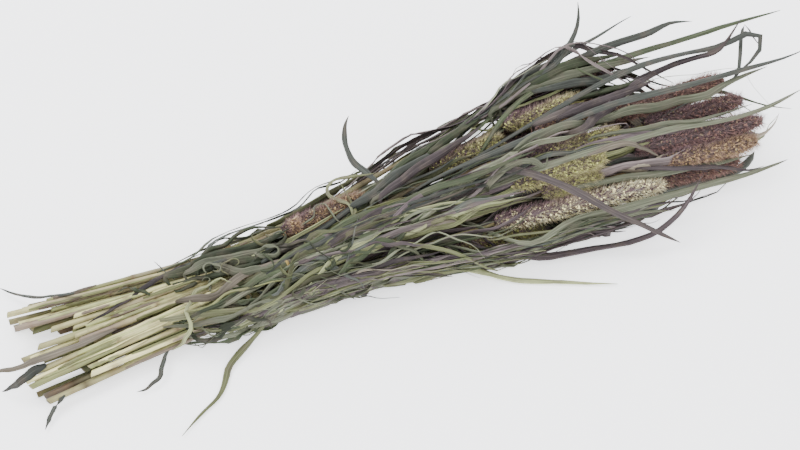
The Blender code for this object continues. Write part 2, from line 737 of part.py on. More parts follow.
def grow_leaves(rng, stations, points, stalks, pile, laid):
    """All the leaves, laid from the last rooted to the first, each over those before it."""
    leaves = []
    strays = sorted(STRAY_LEAVES, key=lambda stray: -stray[1][0][0])
    turn = 0.37
    for count in range(LEAF_COUNT):
        share = count / (LEAF_COUNT - 1)
        while strays and strays[0][1][0][0] > LEAF_ROOTS[0] + (LEAF_ROOTS[1] - LEAF_ROOTS[0]) * share:
            add_leaf(leaves, laid, lay_stray(pile, stalks, *strays.pop(0)))
        for _ in range(LEAF_TRIES):
            turn = (turn + GOLDEN_TURN) % 1.0
            root = LEAF_ROOTS[0] + (LEAF_ROOTS[1] - LEAF_ROOTS[0]) * share
            root += rng.uniform(-ROOT_JITTER, ROOT_JITTER)
            length = rng.uniform(*LEAF_LENGTHS)
            slope = rng.uniform(-LEAF_DRIFT, LEAF_DRIFT)
            bend = rng.uniform(-LEAF_BEND, LEAF_BEND)
            half_width = LEAF_HALF_WIDTH * rng.uniform(0.7, 1.15)
            if abs(root + ROOT_RISE / 2 - BAND_STATION) < ROOT_RISE:
                continue
            at, owner = root_spot(pile, stalks, root, LEAF_TURNS[0] + (LEAF_TURNS[1] - LEAF_TURNS[0]) * turn)
            if at is None:
                continue
            leaf = leaf_from(pile, root, at, length, slope, bend, half_width)
            if leaf["turns"].min() < TURN_LIMITS[0] or leaf["turns"].max() > TURN_LIMITS[1]:
                continue
            if rings_over_heads(pile, stalks, leaf) > MOST_OVER_HEADS:
                continue
            leaf["stalk"] = owner
            bump = lay_leaf(pile, leaf)
            if bump > MOST_BUMP or lowest_of(pile, leaf) < LOWEST_RULE_LEAF:
                continue
            if not root_is_clear(stations, points, stalks, leaf, pile):
                continue
            leaf["sections"] = leaf_sections(pile, leaf)
            if add_leaf(leaves, laid, leaf):
                cover_pile(pile, leaf)
                break
    for stray in strays:
        add_leaf(leaves, laid, lay_stray(pile, stalks, *stray))
    return leaves


def leaf_sections(pile, leaf):
    """A laid leaf's left edge, rib, right edge and the way that it faces, at each ring."""
    sections = []
    for station, *spots, outward in zip(leaf["stations"], *blade_sections(pile, leaf)):
        sections.append((*(np.array((station, *spot)) for spot in spots), np.array((0.0, *outward))))
    return sections


def leaf_mesh(sections):
    """A closed blade, thickest along its rib, as a bmesh."""
    mesh_data = bmesh.new()
    rings = []
    for left, rib, right, facing in sections[:-1]:
        half = LEAF_THICKNESS / 2 * facing
        rings.append([mesh_data.verts.new(spot) for spot in (left, rib + half, right, rib - half)])
    tip = mesh_data.verts.new(sections[-1][1])
    for lower, upper in zip(rings, rings[1:]):
        for edge, faces in ((0, ((0, 1), (0, 3))), (2, ((2, 1), (2, 3)))):
            for a, b in faces:
                mesh_data.faces.new((lower[a], lower[b], upper[a]))
                mesh_data.faces.new((lower[b], upper[b], upper[a]))
    for k in range(4):
        mesh_data.faces.new((rings[-1][k], rings[-1][(k + 1) % 4], tip))
    mesh_data.faces.new(rings[0])
    bmesh.ops.recalc_face_normals(mesh_data, faces=mesh_data.faces)
    return mesh_data


def tube(path, radii, sides):
    """A closed tube through the points, as a bmesh. Each ring has one radius, or one for each side."""
    mesh_data = bmesh.new()
    rings = []
    for index, point in enumerate(path):
        before, after = path[max(index - 1, 0)], path[min(index + 1, len(path) - 1)]
        along = (after - before).normalized()
        side = along.cross(Vector((0, 0, 1))).normalized()
        up = side.cross(along).normalized()
        ring = []
        for k in range(sides):
            angle = 2 * math.pi * (k + 0.5) / sides - math.pi / 2
            radius = float(radii[index][k])
            ring.append(mesh_data.verts.new(point + radius * (math.cos(angle) * side + math.sin(angle) * up)))
        rings.append(ring)
    for lower, upper in zip(rings, rings[1:]):
        for k in range(sides):
            mesh_data.faces.new((lower[k], lower[(k + 1) % sides], upper[(k + 1) % sides], upper[k]))
    mesh_data.faces.new(list(reversed(rings[0])))
    mesh_data.faces.new(rings[-1])
    bmesh.ops.recalc_face_normals(mesh_data, faces=mesh_data.faces)
    return mesh_data


def stem_mesh(stations, points, stalk):
    end = stalk["base"][0] - FIT_GAP
    wanted = [stalk["cut"], *[s for s in stations if stalk["cut"] + 0.006 < s < end - 0.006], end]
    path = [Vector((s, *place_at(stations, points, s))) for s in wanted]
    radii = [[stem_radius(stalk, s)] * STEM_SIDES for s in wanted]
    return tube(path, radii, STEM_SIDES)


def head_mesh(stations, points, stalk, index):
    """A seed head: a tapered spike, raised in staggered clusters of grain that are finer where it shows."""
    sides, rings = (SHOWN_SIDES, SHOWN_RINGS) if index < len(SHOWN_HEADS) else (HIDDEN_SIDES, HIDDEN_RINGS)
    wanted = np.linspace(stalk["base"][0], stalk["tip"][0], rings + 1)
    path = [Vector((s, *place_at(stations, points, s))) for s in wanted]
    radii = []
    for ring, along in enumerate(np.linspace(0.0, 1.0, rings + 1)):
        body = stalk["radius"] * min(1.0, 0.35 + 3.6 * along, 0.28 + 2.8 * (1 - along))
        radii.append([body * (1.0 if (k + ring) % 2 else 0.84) for k in range(sides)])
    return tube(path, radii, sides)


def cut_flat(mesh_data):
    """Takes off what lies below the table, which leaves a flat spot to rest on."""
    everything = mesh_data.verts[:] + mesh_data.edges[:] + mesh_data.faces[:]
    bmesh.ops.bisect_plane(
        mesh_data, geom=everything, plane_co=(0, 0, 0), plane_no=(0, 0, -1), clear_outer=True
    )
    bmesh.ops.holes_fill(mesh_data, edges=[edge for edge in mesh_data.edges if edge.is_boundary], sides=0)
    bmesh.ops.recalc_face_normals(mesh_data, faces=mesh_data.faces)


def band_mesh(outline):
    """A flat loop round the stems."""
    mesh_data = bmesh.new()
    middle = outline.mean(axis=0)
    rings = []
    for along, out in ((-1, 0), (1, 0), (1, 1), (-1, 1)):
        ring = []
        for k, spot in enumerate(outline):
            angle = 2 * math.pi * k / BAND_SIDES
            outward = np.array((math.cos(angle), math.sin(angle)))
            place = spot + out * BAND_THICKNESS * outward
            ring.append(mesh_data.verts.new((BAND_STATION + along * BAND_WIDTH / 2, *place)))
        rings.append(ring)
    for first, second in zip(rings, rings[1:] + rings[:1]):
        for k in range(BAND_SIDES):
            after = (k + 1) % BAND_SIDES
            mesh_data.faces.new((first[k], first[after], second[after], second[k]))
    bmesh.ops.remove_doubles(mesh_data, verts=mesh_data.verts, dist=0.00005)
    bmesh.ops.recalc_face_normals(mesh_data, faces=mesh_data.faces)
    return mesh_data


def fuse(stalk, blades):
    """Joins a stem and its blades in one closed body."""
    if not blades:
        return
    group = bpy.data.collections.new("blades")
    bpy.context.scene.collection.children.link(group)
    for blade in blades:
        bpy.context.scene.collection.objects.unlink(blade)
        group.objects.link(blade)
    union = stalk.modifiers.new("leaves", "BOOLEAN")
    union.operation = "UNION"
    union.operand_type = "COLLECTION"
    union.collection = group
    union.solver = "EXACT"
    bpy.context.view_layer.update()
    graph = bpy.context.evaluated_depsgraph_get()
    fused = bpy.data.meshes.new_from_object(stalk.evaluated_get(graph))
    stalk.modifiers.remove(union)
    stalk.data = fused
    for blade in blades:
        bpy.data.objects.remove(blade)
    bpy.data.collections.remove(group)


def centre_objects():
    """Puts the middle of the whole bunch's footprint at the origin."""
    corners = np.array([vertex.co[:2] for item in bpy.data.objects for vertex in item.data.vertices])
    middle = (corners.min(axis=0) + corners.max(axis=0)) / 2
    for item in bpy.data.objects:
        item.data.transform(Matrix.Translation((-middle[0], -middle[1], 0.0)))


def main():
    clear_scene()
    rng = np.random.default_rng(SEED)
    stalks = plan_stalks(rng)
    stations, points = settle(stalks)
    band = band_outline(stations, points, stalks)
    pile = make_pile(stations, points, stalks, band)
    laid = solids_laid(stations, points, stalks, band)
    leaves = grow_leaves(rng, stations, points, stalks, pile, laid)
    for index, stalk in enumerate(stalks):
        stem = stem_mesh(stations, points[index], stalk)
        if stalk["cut_rests"]:
            cut_flat(stem)
        stem = add_object(f"stalk_{index + 1:02d}", stem, "straw")
        own = [leaf for leaf in leaves if leaf["stalk"] == index]
        blades = [add_object("blade", leaf_mesh(leaf["sections"]), "straw") for leaf in own]
        fuse(stem, blades)
        head = head_mesh(stations, points[index], stalk, index)
        if stalk["head_rests"]:
            cut_flat(head)
        add_object(f"head_{index + 1:02d}", head, "seed_head")
    add_object("band", band_mesh(band), "tie")
    for item in bpy.data.objects:
        item.data.shade_smooth()
        item.data.set_sharp_from_angle(angle=math.radians(50))
    centre_objects()


main()
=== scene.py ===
# %% [markdown]
# # A dried bunch of foxtail millet
# Twenty-nine stalks lie on their side: cut straw stems at one end, long dry blades round the middle and
# bristly seed heads at the other end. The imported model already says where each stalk, blade and head lies.
# This script reads those places and gives every one of them its real surface: fluted straw, rolled and
# veined blades, and heads made of single grains and bristles.

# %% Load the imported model
import math

import bmesh
import bpy
import numpy as np
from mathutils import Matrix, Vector


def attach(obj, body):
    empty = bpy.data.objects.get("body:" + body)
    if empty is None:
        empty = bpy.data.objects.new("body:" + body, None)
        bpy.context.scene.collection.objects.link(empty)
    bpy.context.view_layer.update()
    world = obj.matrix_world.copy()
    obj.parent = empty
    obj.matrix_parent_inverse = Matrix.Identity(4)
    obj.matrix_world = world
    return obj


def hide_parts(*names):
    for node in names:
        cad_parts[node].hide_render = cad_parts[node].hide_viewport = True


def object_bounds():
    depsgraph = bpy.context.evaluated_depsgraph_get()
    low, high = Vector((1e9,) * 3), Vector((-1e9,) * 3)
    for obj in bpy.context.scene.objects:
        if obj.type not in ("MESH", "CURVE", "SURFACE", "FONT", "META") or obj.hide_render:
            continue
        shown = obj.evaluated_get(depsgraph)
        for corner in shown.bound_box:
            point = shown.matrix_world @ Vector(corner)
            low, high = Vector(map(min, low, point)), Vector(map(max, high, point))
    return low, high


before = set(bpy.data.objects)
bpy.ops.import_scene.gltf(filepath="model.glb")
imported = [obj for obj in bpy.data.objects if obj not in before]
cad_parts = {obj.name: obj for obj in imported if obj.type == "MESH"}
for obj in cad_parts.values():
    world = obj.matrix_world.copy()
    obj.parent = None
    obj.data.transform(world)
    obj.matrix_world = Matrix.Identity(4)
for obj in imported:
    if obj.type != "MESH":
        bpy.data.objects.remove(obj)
CAD_BOX = [list(corner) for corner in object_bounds()]
STALKS = sorted(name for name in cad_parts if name.startswith("stalk_"))
RANDOM_SEED = 2911
rng = np.random.default_rng(RANDOM_SEED)
print("CAD box in metres:", CAD_BOX, "stalks:", len(STALKS))

# %% [markdown]
# ## The camera
# The camera comes first, because a few blades are placed by where the photograph shows them. It could be
# set by eye and corrected, but a camera that orbits a target by a turn, a rise and a distance can be matched
# to the photograph with four numbers. It also tells at which point of space a pixel of the photograph lies,
# once the height above the table is known.

# %% Camera
VIEW_TARGET = Vector((-0.0217, -0.0035, 0.02))
VIEW_TURN = math.radians(-21.479)
VIEW_RISE = math.radians(55)
VIEW_DISTANCE = 1.7
VIEW_LENS = 87.816
SENSOR_WIDTH = 36.0
PHOTO_WIDTH, PHOTO_HEIGHT = 800, 450

camera_data = bpy.data.cameras.new("camera")
camera_data.lens = VIEW_LENS
camera_data.sensor_width = SENSOR_WIDTH
camera = bpy.data.objects.new("camera", camera_data)
bpy.context.scene.collection.objects.link(camera)
bpy.context.scene.camera = camera
view_back = Vector((
    math.sin(VIEW_TURN) * math.cos(VIEW_RISE),
    -math.cos(VIEW_TURN) * math.cos(VIEW_RISE),
    math.sin(VIEW_RISE),
))
camera.location = VIEW_TARGET + VIEW_DISTANCE * view_back
camera.rotation_euler = view_back.to_track_quat("Z", "Y").to_euler()
print("camera at", [round(value, 3) for value in camera.location])

# %% Pixels of the photograph and points in space
PIXEL_SLOPE = SENSOR_WIDTH / PHOTO_WIDTH / VIEW_LENS


def photo_spot(across, down, height):
    """The points at those heights above the table which the photograph shows at a pixel."""
    ray = Vector(((across - PHOTO_WIDTH / 2) * PIXEL_SLOPE, (PHOTO_HEIGHT / 2 - down) * PIXEL_SLOPE, -1.0))
    ray.rotate(camera.rotation_euler)
    eye = np.array(camera.location)
    return eye + np.array(ray) * ((np.asarray(height) - eye[2]) / ray.z)[..., None]


def in_photo(spots):
    """Pixels of the photograph at which points show."""
    seen = (spots - np.array(camera.location)) @ np.array(camera.rotation_euler.to_matrix())
    scale = VIEW_LENS / SENSOR_WIDTH * PHOTO_WIDTH / seen[:, 2]
    return np.column_stack((PHOTO_WIDTH / 2 - scale * seen[:, 0], PHOTO_HEIGHT / 2 + scale * seen[:, 1]))


print("the camera's target shows at pixel", in_photo(np.array([VIEW_TARGET])).round(1))

# %% [markdown]
# ## Reading the blades
# Each stalk of the model is one closed body: a stem with plain blades. A finer blade should lie exactly
# where the plain one does. The routes could be typed in again, but they would then have to be kept in step
# by hand. Instead each plain blade is walked from its pointed tip back to its root: the tip is a corner
# that joins one small ring of four corners, and every further ring is the next four corners along.

# %% A joined copy of a stalk
MERGE = 1e-6
SHORTEST = 1e-9


def unit(vectors):
    """The vectors, each at a length of one."""
    return vectors / np.maximum(np.linalg.norm(vectors, axis=-1, keepdims=True), SHORTEST)


def merged_copy(node):
    """A bmesh copy of a node of the model, with its loose triangles joined."""
    mesh_data = bmesh.new()
    mesh_data.from_mesh(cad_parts[node].data)
    bmesh.ops.remove_doubles(mesh_data, verts=mesh_data.verts, dist=MERGE)
    return mesh_data


leafiest = max(STALKS, key=lambda node: len(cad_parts[node].data.vertices))
stalk_data = merged_copy(leafiest)
print("corners of the leafiest stalk,", leafiest, ":", len(stalk_data.verts))

# %% Tips and rings of a blade
TIP_SHARPNESS = 1.9


def neighbours(corner):
    """The corners that share an edge with a corner."""
    return [edge.other_vert(corner) for edge in corner.link_edges]


def is_tip(corner, near):
    """Whether a corner is a blade's point: four neighbours, close together and well away from it."""
    if len(near) != 4:
        return False
    spread = max((a.co - b.co).length for a in near for b in near)
    middle = sum((other.co for other in near), Vector()) / 4
    return (middle - corner.co).length > TIP_SHARPNESS * spread


def ring_of(corners):
    """(rib, half width, the way it faces) of a blade's ring of four corners."""
    spots = np.array([corner.co for corner in corners])
    gaps = np.linalg.norm(spots[:, None] - spots[None], axis=-1)
    first, second = np.unravel_index(np.argmax(gaps), gaps.shape)
    ribs = [k for k in range(4) if k not in (first, second)]
    rib = spots[ribs].mean(axis=0)
    edges = (spots[first] + spots[second]) / 2
    return rib, gaps.max() / 2, unit(rib - edges)


print("blade tips on it:", sum(is_tip(corner, neighbours(corner)) for corner in stalk_data.verts))

# %% Walk the blades of a stalk
FEWEST_RINGS = 3
NARROWEST_RING = 0.0013
ROOT_HALF, TIP_HALF = 0.0014, 0.0002


def read_blades(mesh_data):
    """Every blade of a stalk as rings from root to tip, and the corners that are blade."""
    blades, blade_corners = [], set()
    for corner in mesh_data.verts:
        near = neighbours(corner)
        if not is_tip(corner, near):
            continue
        seen, rings, last = {corner, *near}, [ring_of(near)], near
        while True:
            behind = {other for one in last for other in neighbours(one)} - seen
            if len(behind) != 4:
                break
            ring = ring_of(behind)
            if ring[1] < NARROWEST_RING and len(rings) > FEWEST_RINGS:
                break
            rings.append(ring)
            seen |= behind
            last = list(behind)
        root = np.mean([np.array(one.co) for one in behind], axis=0)
        rings = rings[::-1]
        blades.append({
            "ribs": np.array([root] + [ring[0] for ring in rings] + [np.array(corner.co)]),
            "halves": np.array([ROOT_HALF] + [ring[1] for ring in rings] + [TIP_HALF]),
            "facings": np.array([rings[0][2]] + [ring[2] for ring in rings] + [rings[-1][2]]),
        })
        blade_corners |= seen
    return blades, blade_corners


print("rings of its blades:", [len(blade["ribs"]) for blade in read_blades(stalk_data)[0]])
stalk_data.free()

# %% Seed heads and stems
HEAD_STATIONS, HEAD_SLICE = 9, 0.008
STEM_STATIONS, STEM_SLICE, STEM_CORNERS = 15, 0.0012, 5
STEM_MARGIN = 0.006
CUT_SLICE = 0.0015
BUNCH_LENGTH = 0.70
CUT_TO_TARGET = 0.3433


def read_head(node):
    """The middle line, ends and greatest radius of a seed head."""
    mesh_data = merged_copy(node)
    spots = np.array([corner.co for corner in mesh_data.verts])
    mesh_data.free()
    low, high = spots[:, 0].min(), spots[:, 0].max()
    centres, radii = [], []
    for station in np.linspace(low, high, HEAD_STATIONS)[1:-1]:
        near = spots[np.abs(spots[:, 0] - station) < HEAD_SLICE]
        radii.append(np.ptp(near[:, 1]) / 2)
        centres.append((station, near[:, 1].min() + radii[-1], near[:, 2].max() - radii[-1]))
    first, last = 2 * np.array(centres[0]) - centres[1], 2 * np.array(centres[-1]) - centres[-2]
    return {"line": np.array([first, *centres, last]), "radius": max(radii[1:-1]), "low": low, "high": high}


def read_stem(mesh_data, blade_corners, head):
    """The stem's middle line from its cut end to its seed head."""
    rest = np.array([corner.co for corner in mesh_data.verts if corner not in blade_corners])
    cut = rest[:, 0].min()
    shift = VIEW_TARGET.x - CUT_TO_TARGET
    line = []
    for station in np.linspace(0.0, BUNCH_LENGTH, STEM_STATIONS) + shift:
        if not cut + STEM_MARGIN < station < head["low"] - STEM_MARGIN:
            continue
        near = rest[np.abs(rest[:, 0] - station) < STEM_SLICE]
        if len(near) == STEM_CORNERS:
            line.append(near.mean(axis=0))
    ends = rest[rest[:, 0] < cut + CUT_SLICE].mean(axis=0)
    return np.array([ends, *line, head["line"][0]])


print("first head's greatest radius:", round(read_head("head_01")["radius"], 4), "m")

# %% Read all stalks
stalks = []
for node in STALKS:
    copy = merged_copy(node)
    head = read_head(node.replace("stalk", "head"))
    blades, blade_corners = read_blades(copy)
    stem = read_stem(copy, blade_corners, head)
    stalks.append({"node": node, "head": head, "blades": blades, "stem": stem})
    copy.free()
print("blades:", sum(len(stalk["blades"]) for stalk in stalks))
print("stem points:", [len(stalk["stem"]) for stalk in stalks])

# %% [markdown]
# ## Shapes that repeat
# Grains, bristles and blades repeat hundreds of times. An Array modifier or instances would place them, but
# neither follows a head's curve with a colour of its own for each grain. So each shape is modelled once with
# bmesh operators and kept as arrays, and its corners are then moved for every copy. A copy carries its
# colour, and a place on the shape, as attributes that the materials read.

# %% Shapes and their copies
EACH_COLOUR = "tint"
PLACE_ON_SHAPE = "place"


def shape_from(mesh_data):
    """A finished bmesh as arrays: corners, the corners of each face one after another, and face sizes."""
    mesh_data.verts.index_update()
    shape = {
        "spots": np.array([corner.co for corner in mesh_data.verts]),
        "loops": np.array([corner.index for face in mesh_data.faces for corner in face.verts]),
        "sizes": np.array([len(face.verts) for face in mesh_data.faces]),
    }
    mesh_data.free()
    return shape


def copies(shape, spots, tints, places, finish_index=0):
    """One copy of the shape for each row of spots, with a tint and a place on the shape for each corner."""
    count, corners = spots.shape[:2]
    starts = np.arange(count)[:, None] * corners
    return {
        "spots": spots.reshape(-1, 3),
        "loops": (shape["loops"][None] + starts).ravel(),
        "sizes": np.tile(shape["sizes"], count),
        "tints": np.broadcast_to(tints, (count, corners, 3)).reshape(-1, 3),
        "places": np.broadcast_to(places, (count, corners, 2)).reshape(-1, 2),
        "finish": np.full(count * len(shape["sizes"]), finish_index),
    }


print("a piece keeps its colours in", EACH_COLOUR, "and its pattern's place in", PLACE_ON_SHAPE)

# %% [markdown]
# ## The blades
# A dry millet blade is a thin ribbon with a rib down its middle. As it dries its sides roll inwards, its
# edges cockle and it twists. A flat grid holds all of that: one operator makes it, and a formula then rolls
# it across, waves it along and lays it on its route. Cloth simulation could fold it more freely, but it
# would slide off the route that the model gives. A Solidify modifier adds the thickness at the end.

# %% The flat blade
BLADE_RINGS = 26
BLADE_LANES = 4
BLADE_THICKNESS = 0.00028

blade_data = bmesh.new()
bmesh.ops.create_grid(blade_data, x_segments=BLADE_RINGS, y_segments=BLADE_LANES, size=1.0)
FLAT_BLADE = shape_from(blade_data)
BLADE_ALONG = (FLAT_BLADE["spots"][:, 0] + 1) / 2
BLADE_ACROSS = FLAT_BLADE["spots"][:, 1]
print("corners in a blade:", len(BLADE_ALONG))

# %% A smooth curve along a route


def smooth_line(points, shares):
    """Points of a smooth curve through a route, at shares of its length from 0 to 1."""
    points = np.asarray(points, dtype=float)
    steps = np.linalg.norm(np.diff(points, axis=0), axis=1)
    at = np.concatenate(((0.0,), np.cumsum(steps))) / steps.sum()
    slopes = np.gradient(points, at, axis=0)
    span = np.clip(np.searchsorted(at, shares, side="right") - 1, 0, len(at) - 2)
    width = (at[span + 1] - at[span])[:, None]
    t = ((shares - at[span])[:, None]) / width
    ease = t * t * (3 - 2 * t)
    lift = (t * (1 - t) ** 2 * slopes[span] - t * t * (1 - t) * slopes[span + 1]) * width
    return points[span] * (1 - ease) + points[span + 1] * ease + lift


print("halfway along a bent line:", smooth_line(((0, 0), (1, 1), (2, 0)), np.array([0.5])).round(3))

# %% [markdown]
# ## Waves and flips
# Nothing on a dried blade is even: its width, its twist and its edges all wander, and here and there it
# turns over within a finger's width. A Noise texture in a Displace modifier could do that, but it would
# move the blade's colour and its rolled sides in the same way. A few sine waves of random length give a
# smooth line for each of them, and a flip is one smooth step in the twist.

# %% Waves and flips
WAVE_STRETCH = (0.6, 1.1)
FLIP_CHANCE = 0.55
FLIP_TURNS = (0.8, 2.9)
FLIP_PLACES, FLIP_LENGTHS = (0.25, 0.95), (0.03, 0.09)
MOST_FLIPPED = 5


def waves(shares, count, strength):
    """A smooth random line: a few waves of random length and start."""
    line = np.zeros(len(shares))
    for k in range(1, count + 1):
        height, stretch, start = rng.uniform(-1, 1), rng.uniform(*WAVE_STRETCH), rng.uniform()
        line += height * np.sin(2 * math.pi * (k * stretch * shares + start))
    return strength * line / math.sqrt(count)


def flips(shares):
    """Sudden turns of a drying blade, each within a short stretch: often none, seldom more than two."""
    turned = np.zeros(len(shares))
    while rng.uniform() < FLIP_CHANCE and np.abs(turned).max() < MOST_FLIPPED:
        middle, length = rng.uniform(*FLIP_PLACES), rng.uniform(*FLIP_LENGTHS)
        step = np.clip((shares - middle) / length + 0.5, 0, 1)
        turned += rng.choice((-1, 1)) * rng.uniform(*FLIP_TURNS) * step * step * (3 - 2 * step)
    return turned


print("chance that a blade flips:", FLIP_CHANCE)

# %% [markdown]
# ## Laying a blade
# On the plant a blade leaves its stem, arches over and ends in a fine tip. A Curve modifier would bend the
# grid along a curve object, but hundreds of curves and modifiers are slow, and the roll couldn't change on
# the way. So the corners are worked out: a middle line, the blade's own side and face at each place on it,
# and then an arc across that is tighter the more the blade is rolled.

# %% Laying a blade on its route
FLAT_ROLL, TIGHT_ROLL = (0.15, 0.7), (1.1, 2.3)
ROLL_LIMITS = (0.1, 2.5)
TIGHT_CHANCE = 0.22
ROLL_WANDER, WIDTH_WANDER, COLOUR_WANDER = 0.4, 0.14, 0.15
COCKLES, COCKLE_SHARE = 14, 0.22
LOWEST_BLADE = 0.0004
EDGE_PALE_AND_HIGHLIGHT, EDGE_FROM = 0.6, 0.9
PATTERN_SHIFTS = (0, 5)


def lay_blade(route, halves, facings, tint, twist=0.35, wander=0.0012, roll=None, flip=True):
    """The flat blade's corners on a route from root to tip, rolled, twisted and cockled."""
    shares = np.linspace(0.0, 1.0, 4 * BLADE_RINGS + 1)
    rib = smooth_line(route, shares)
    steps = np.linalg.norm(np.diff(route, axis=0), axis=1)
    given = np.concatenate(((0.0,), np.cumsum(steps))) / steps.sum()
    half = np.interp(shares, given, halves) * (1 + waves(shares, 5, WIDTH_WANDER))
    facing = np.column_stack([np.interp(shares, given, facings[:, k]) for k in range(3)])
    along = unit(np.gradient(rib, axis=0))
    side = unit(np.cross(facing, along))
    facing = np.cross(along, side)
    free = np.clip(6 * shares, 0.0, 1.0)
    rib = rib + (waves(shares, 5, wander) * free)[:, None] * side
    turned = waves(shares, 4, twist) * free + (flips(shares) if flip else 0)
    side, facing = (
        np.cos(turned)[:, None] * side + np.sin(turned)[:, None] * facing,
        np.cos(turned)[:, None] * facing - np.sin(turned)[:, None] * side,
    )
    if roll is None:
        roll = rng.uniform(*(TIGHT_ROLL if rng.uniform() < TIGHT_CHANCE else FLAT_ROLL))
    rolled = np.clip(roll + waves(shares, 4, ROLL_WANDER), *ROLL_LIMITS)
    cockles = np.stack([waves(shares, COCKLES, COCKLE_SHARE) for _ in range(2)])
    at = BLADE_ALONG
    pick = np.clip((at * (len(shares) - 1)).round().astype(int), 0, len(shares) - 1)
    across = BLADE_ACROSS
    curl = rolled[pick]
    out = half[pick] * np.sin(across * curl) / curl
    down = half[pick] * (1 - np.cos(across * curl)) / curl
    ripple = np.where(across > 0, cockles[0][pick], cockles[1][pick]) * np.abs(across) ** 1.5 * half[pick]
    spots = rib[pick] + out[:, None] * side[pick] + (ripple - down)[:, None] * facing[pick]
    spots[:, 2] = np.maximum(spots[:, 2], LOWEST_BLADE)
    length = np.linalg.norm(np.diff(rib, axis=0), axis=1).sum()
    places = np.column_stack((at * length + rng.uniform(*PATTERN_SHIFTS), across * half.max()))
    # Both edges are paler, partly the blade's own pale margin and partly a painted highlight along the curled
    # edge.
    wander_and_edge_highlight = 1 + COLOUR_WANDER * waves(at, 4, 1.0)[:, None] + EDGE_PALE_AND_HIGHLIGHT * (np.abs(across)[:, None] > EDGE_FROM)
    return {"spots": spots, "places": places, "tints": np.asarray(tint)[None] * wander_and_edge_highlight}


print("a blade's sides roll through", FLAT_ROLL, "or, tightly,", TIGHT_ROLL, "radians")

# %% [markdown]
# ## Colours of the blades
# The dried blades run from grey-green and olive to mauve-grey, with a few nearly black and a few amber. A
# single leaf material with a random hue would scatter these evenly. In the real bunch greener blades lie
# near the stems and darker ones near the top, so each blade draws its colour from a list whose weights
# change along the bunch.

# %% Screen colours as light


def colour(red, green, blue):
    """A screen colour from 0 to 255 as the linear light that Blender works in."""
    share = np.array((red, green, blue)) / 255
    return np.where(share <= 0.04045, share / 12.92, ((share + 0.055) / 1.055) ** 2.4)


print("mid grey as light:", colour(128, 128, 128).round(3))

# %% Blade colours
GREY_GREEN, OLIVE, PALE_GREEN = colour(110, 114, 94), colour(100, 104, 72), colour(150, 155, 114)
SLATE, MAUVE_GREY, TAUPE = colour(76, 80, 74), colour(108, 98, 97), colour(122, 114, 100)
DARK_GREEN, DARK_MAUVE, AMBER = colour(64, 72, 52), colour(78, 69, 71), colour(178, 152, 88)
BLADE_COLOURS = np.array((
    GREY_GREEN, OLIVE, PALE_GREEN, SLATE, MAUVE_GREY, TAUPE, DARK_GREEN, DARK_MAUVE, AMBER,
))
WEIGHTS_AT_STEMS = np.array((5.0, 4.0, 2.5, 1.5, 1.0, 1.5, 3.5, 0.8, 0.1))
WEIGHTS_AT_HEADS = np.array((3.5, 0.8, 0.8, 3.0, 3.5, 0.9, 2.5, 3.5, 0.0))
STEM_COLOURS_AT, COLOUR_CHANGE = -0.20, 0.30
BLADE_BRIGHTNESS = (0.18, 0.7)
BRIGHTER_AT_HEADS = 0.35


def blade_tint(station):
    """A colour for a blade whose middle lies at that place along the bunch."""
    share = np.clip((station - STEM_COLOURS_AT) / COLOUR_CHANGE, 0.0, 1.0)
    weights = WEIGHTS_AT_STEMS * (1 - share) + WEIGHTS_AT_HEADS * share
    chosen = BLADE_COLOURS[rng.choice(len(BLADE_COLOURS), p=weights / weights.sum())]
    return chosen * rng.uniform(*BLADE_BRIGHTNESS) * (1 + BRIGHTER_AT_HEADS * share)


print("blade colours:", len(BLADE_COLOURS))

# %% [markdown]
# ## The blades of the model
# The blades whose tips stand free of the bunch show one by one in the photograph, so each takes the colour
# it has there. It is found by the pixel of its tip, because the order of the model's blades may change. The
# other blades draw a colour. All of them are laid on the routes that were read from the model.

# %% The blades of the model
TIP_TINTS = {
    (181, 435): OLIVE, (617, 284): PALE_GREEN * 1.3, (702, 176): DARK_MAUVE, (680, 242): MAUVE_GREY * 0.5,
    (787, 159): GREY_GREEN * 0.9, (801, 89): GREY_GREEN * 0.9, (780, 9): DARK_GREEN * 1.3,
    (805, 48): SLATE * 0.8, (738, 72): SLATE * 0.7, (630, 16): SLATE * 0.9, (348, 115): SLATE * 0.8,
    (578, 2): SLATE * 0.7, (-4, 379): TAUPE * 0.8, (0, 288): SLATE * 0.7,
}
TIP_REACH = 6
TIP_SHADE = 0.6
DRAWN_MANNER = {"twist": 0.15, "flip": False, "roll": 0.5}
MODEL_TWIST = 0.3


def shown_tint(blade):
    """The colour that the photograph shows for a blade whose tip stands free, else None."""
    tip = in_photo(blade["ribs"][-1:])[0]
    for pixel, tint in TIP_TINTS.items():
        if np.linalg.norm(tip - pixel) < TIP_REACH:
            return TIP_SHADE * tint
    return None


for stalk in stalks:
    stalk["laid"] = []
    for blade in stalk["blades"]:
        tint = shown_tint(blade)
        drawn = tint is not None
        tint = tint if drawn else blade_tint(blade["ribs"][len(blade["ribs"]) // 2][0])
        manner = DRAWN_MANNER if drawn else {"twist": MODEL_TWIST}
        stalk["laid"].append(lay_blade(blade["ribs"], blade["halves"], blade["facings"], tint, **manner))
print("blades laid:", sum(len(stalk["laid"]) for stalk in stalks))

# %% [markdown]
# ## The stems
# A stem is straw: a hollow, slightly oval tube with fine flutes, a dark swollen joint every hand's width,
# and the lower part of a blade wrapped round it above each joint. A cylinder whose rings are cut by
# subdividing its long edges gives enough corners to shape all of these, and insetting its cut end and
# pushing the middle in leaves the hollow that shows where it was cut.

# %% A straight straw
STRAW_SIDES = 12
STRAW_RINGS = 44
STRAW_WALL = 0.28
STRAW_HOLLOW = 0.012

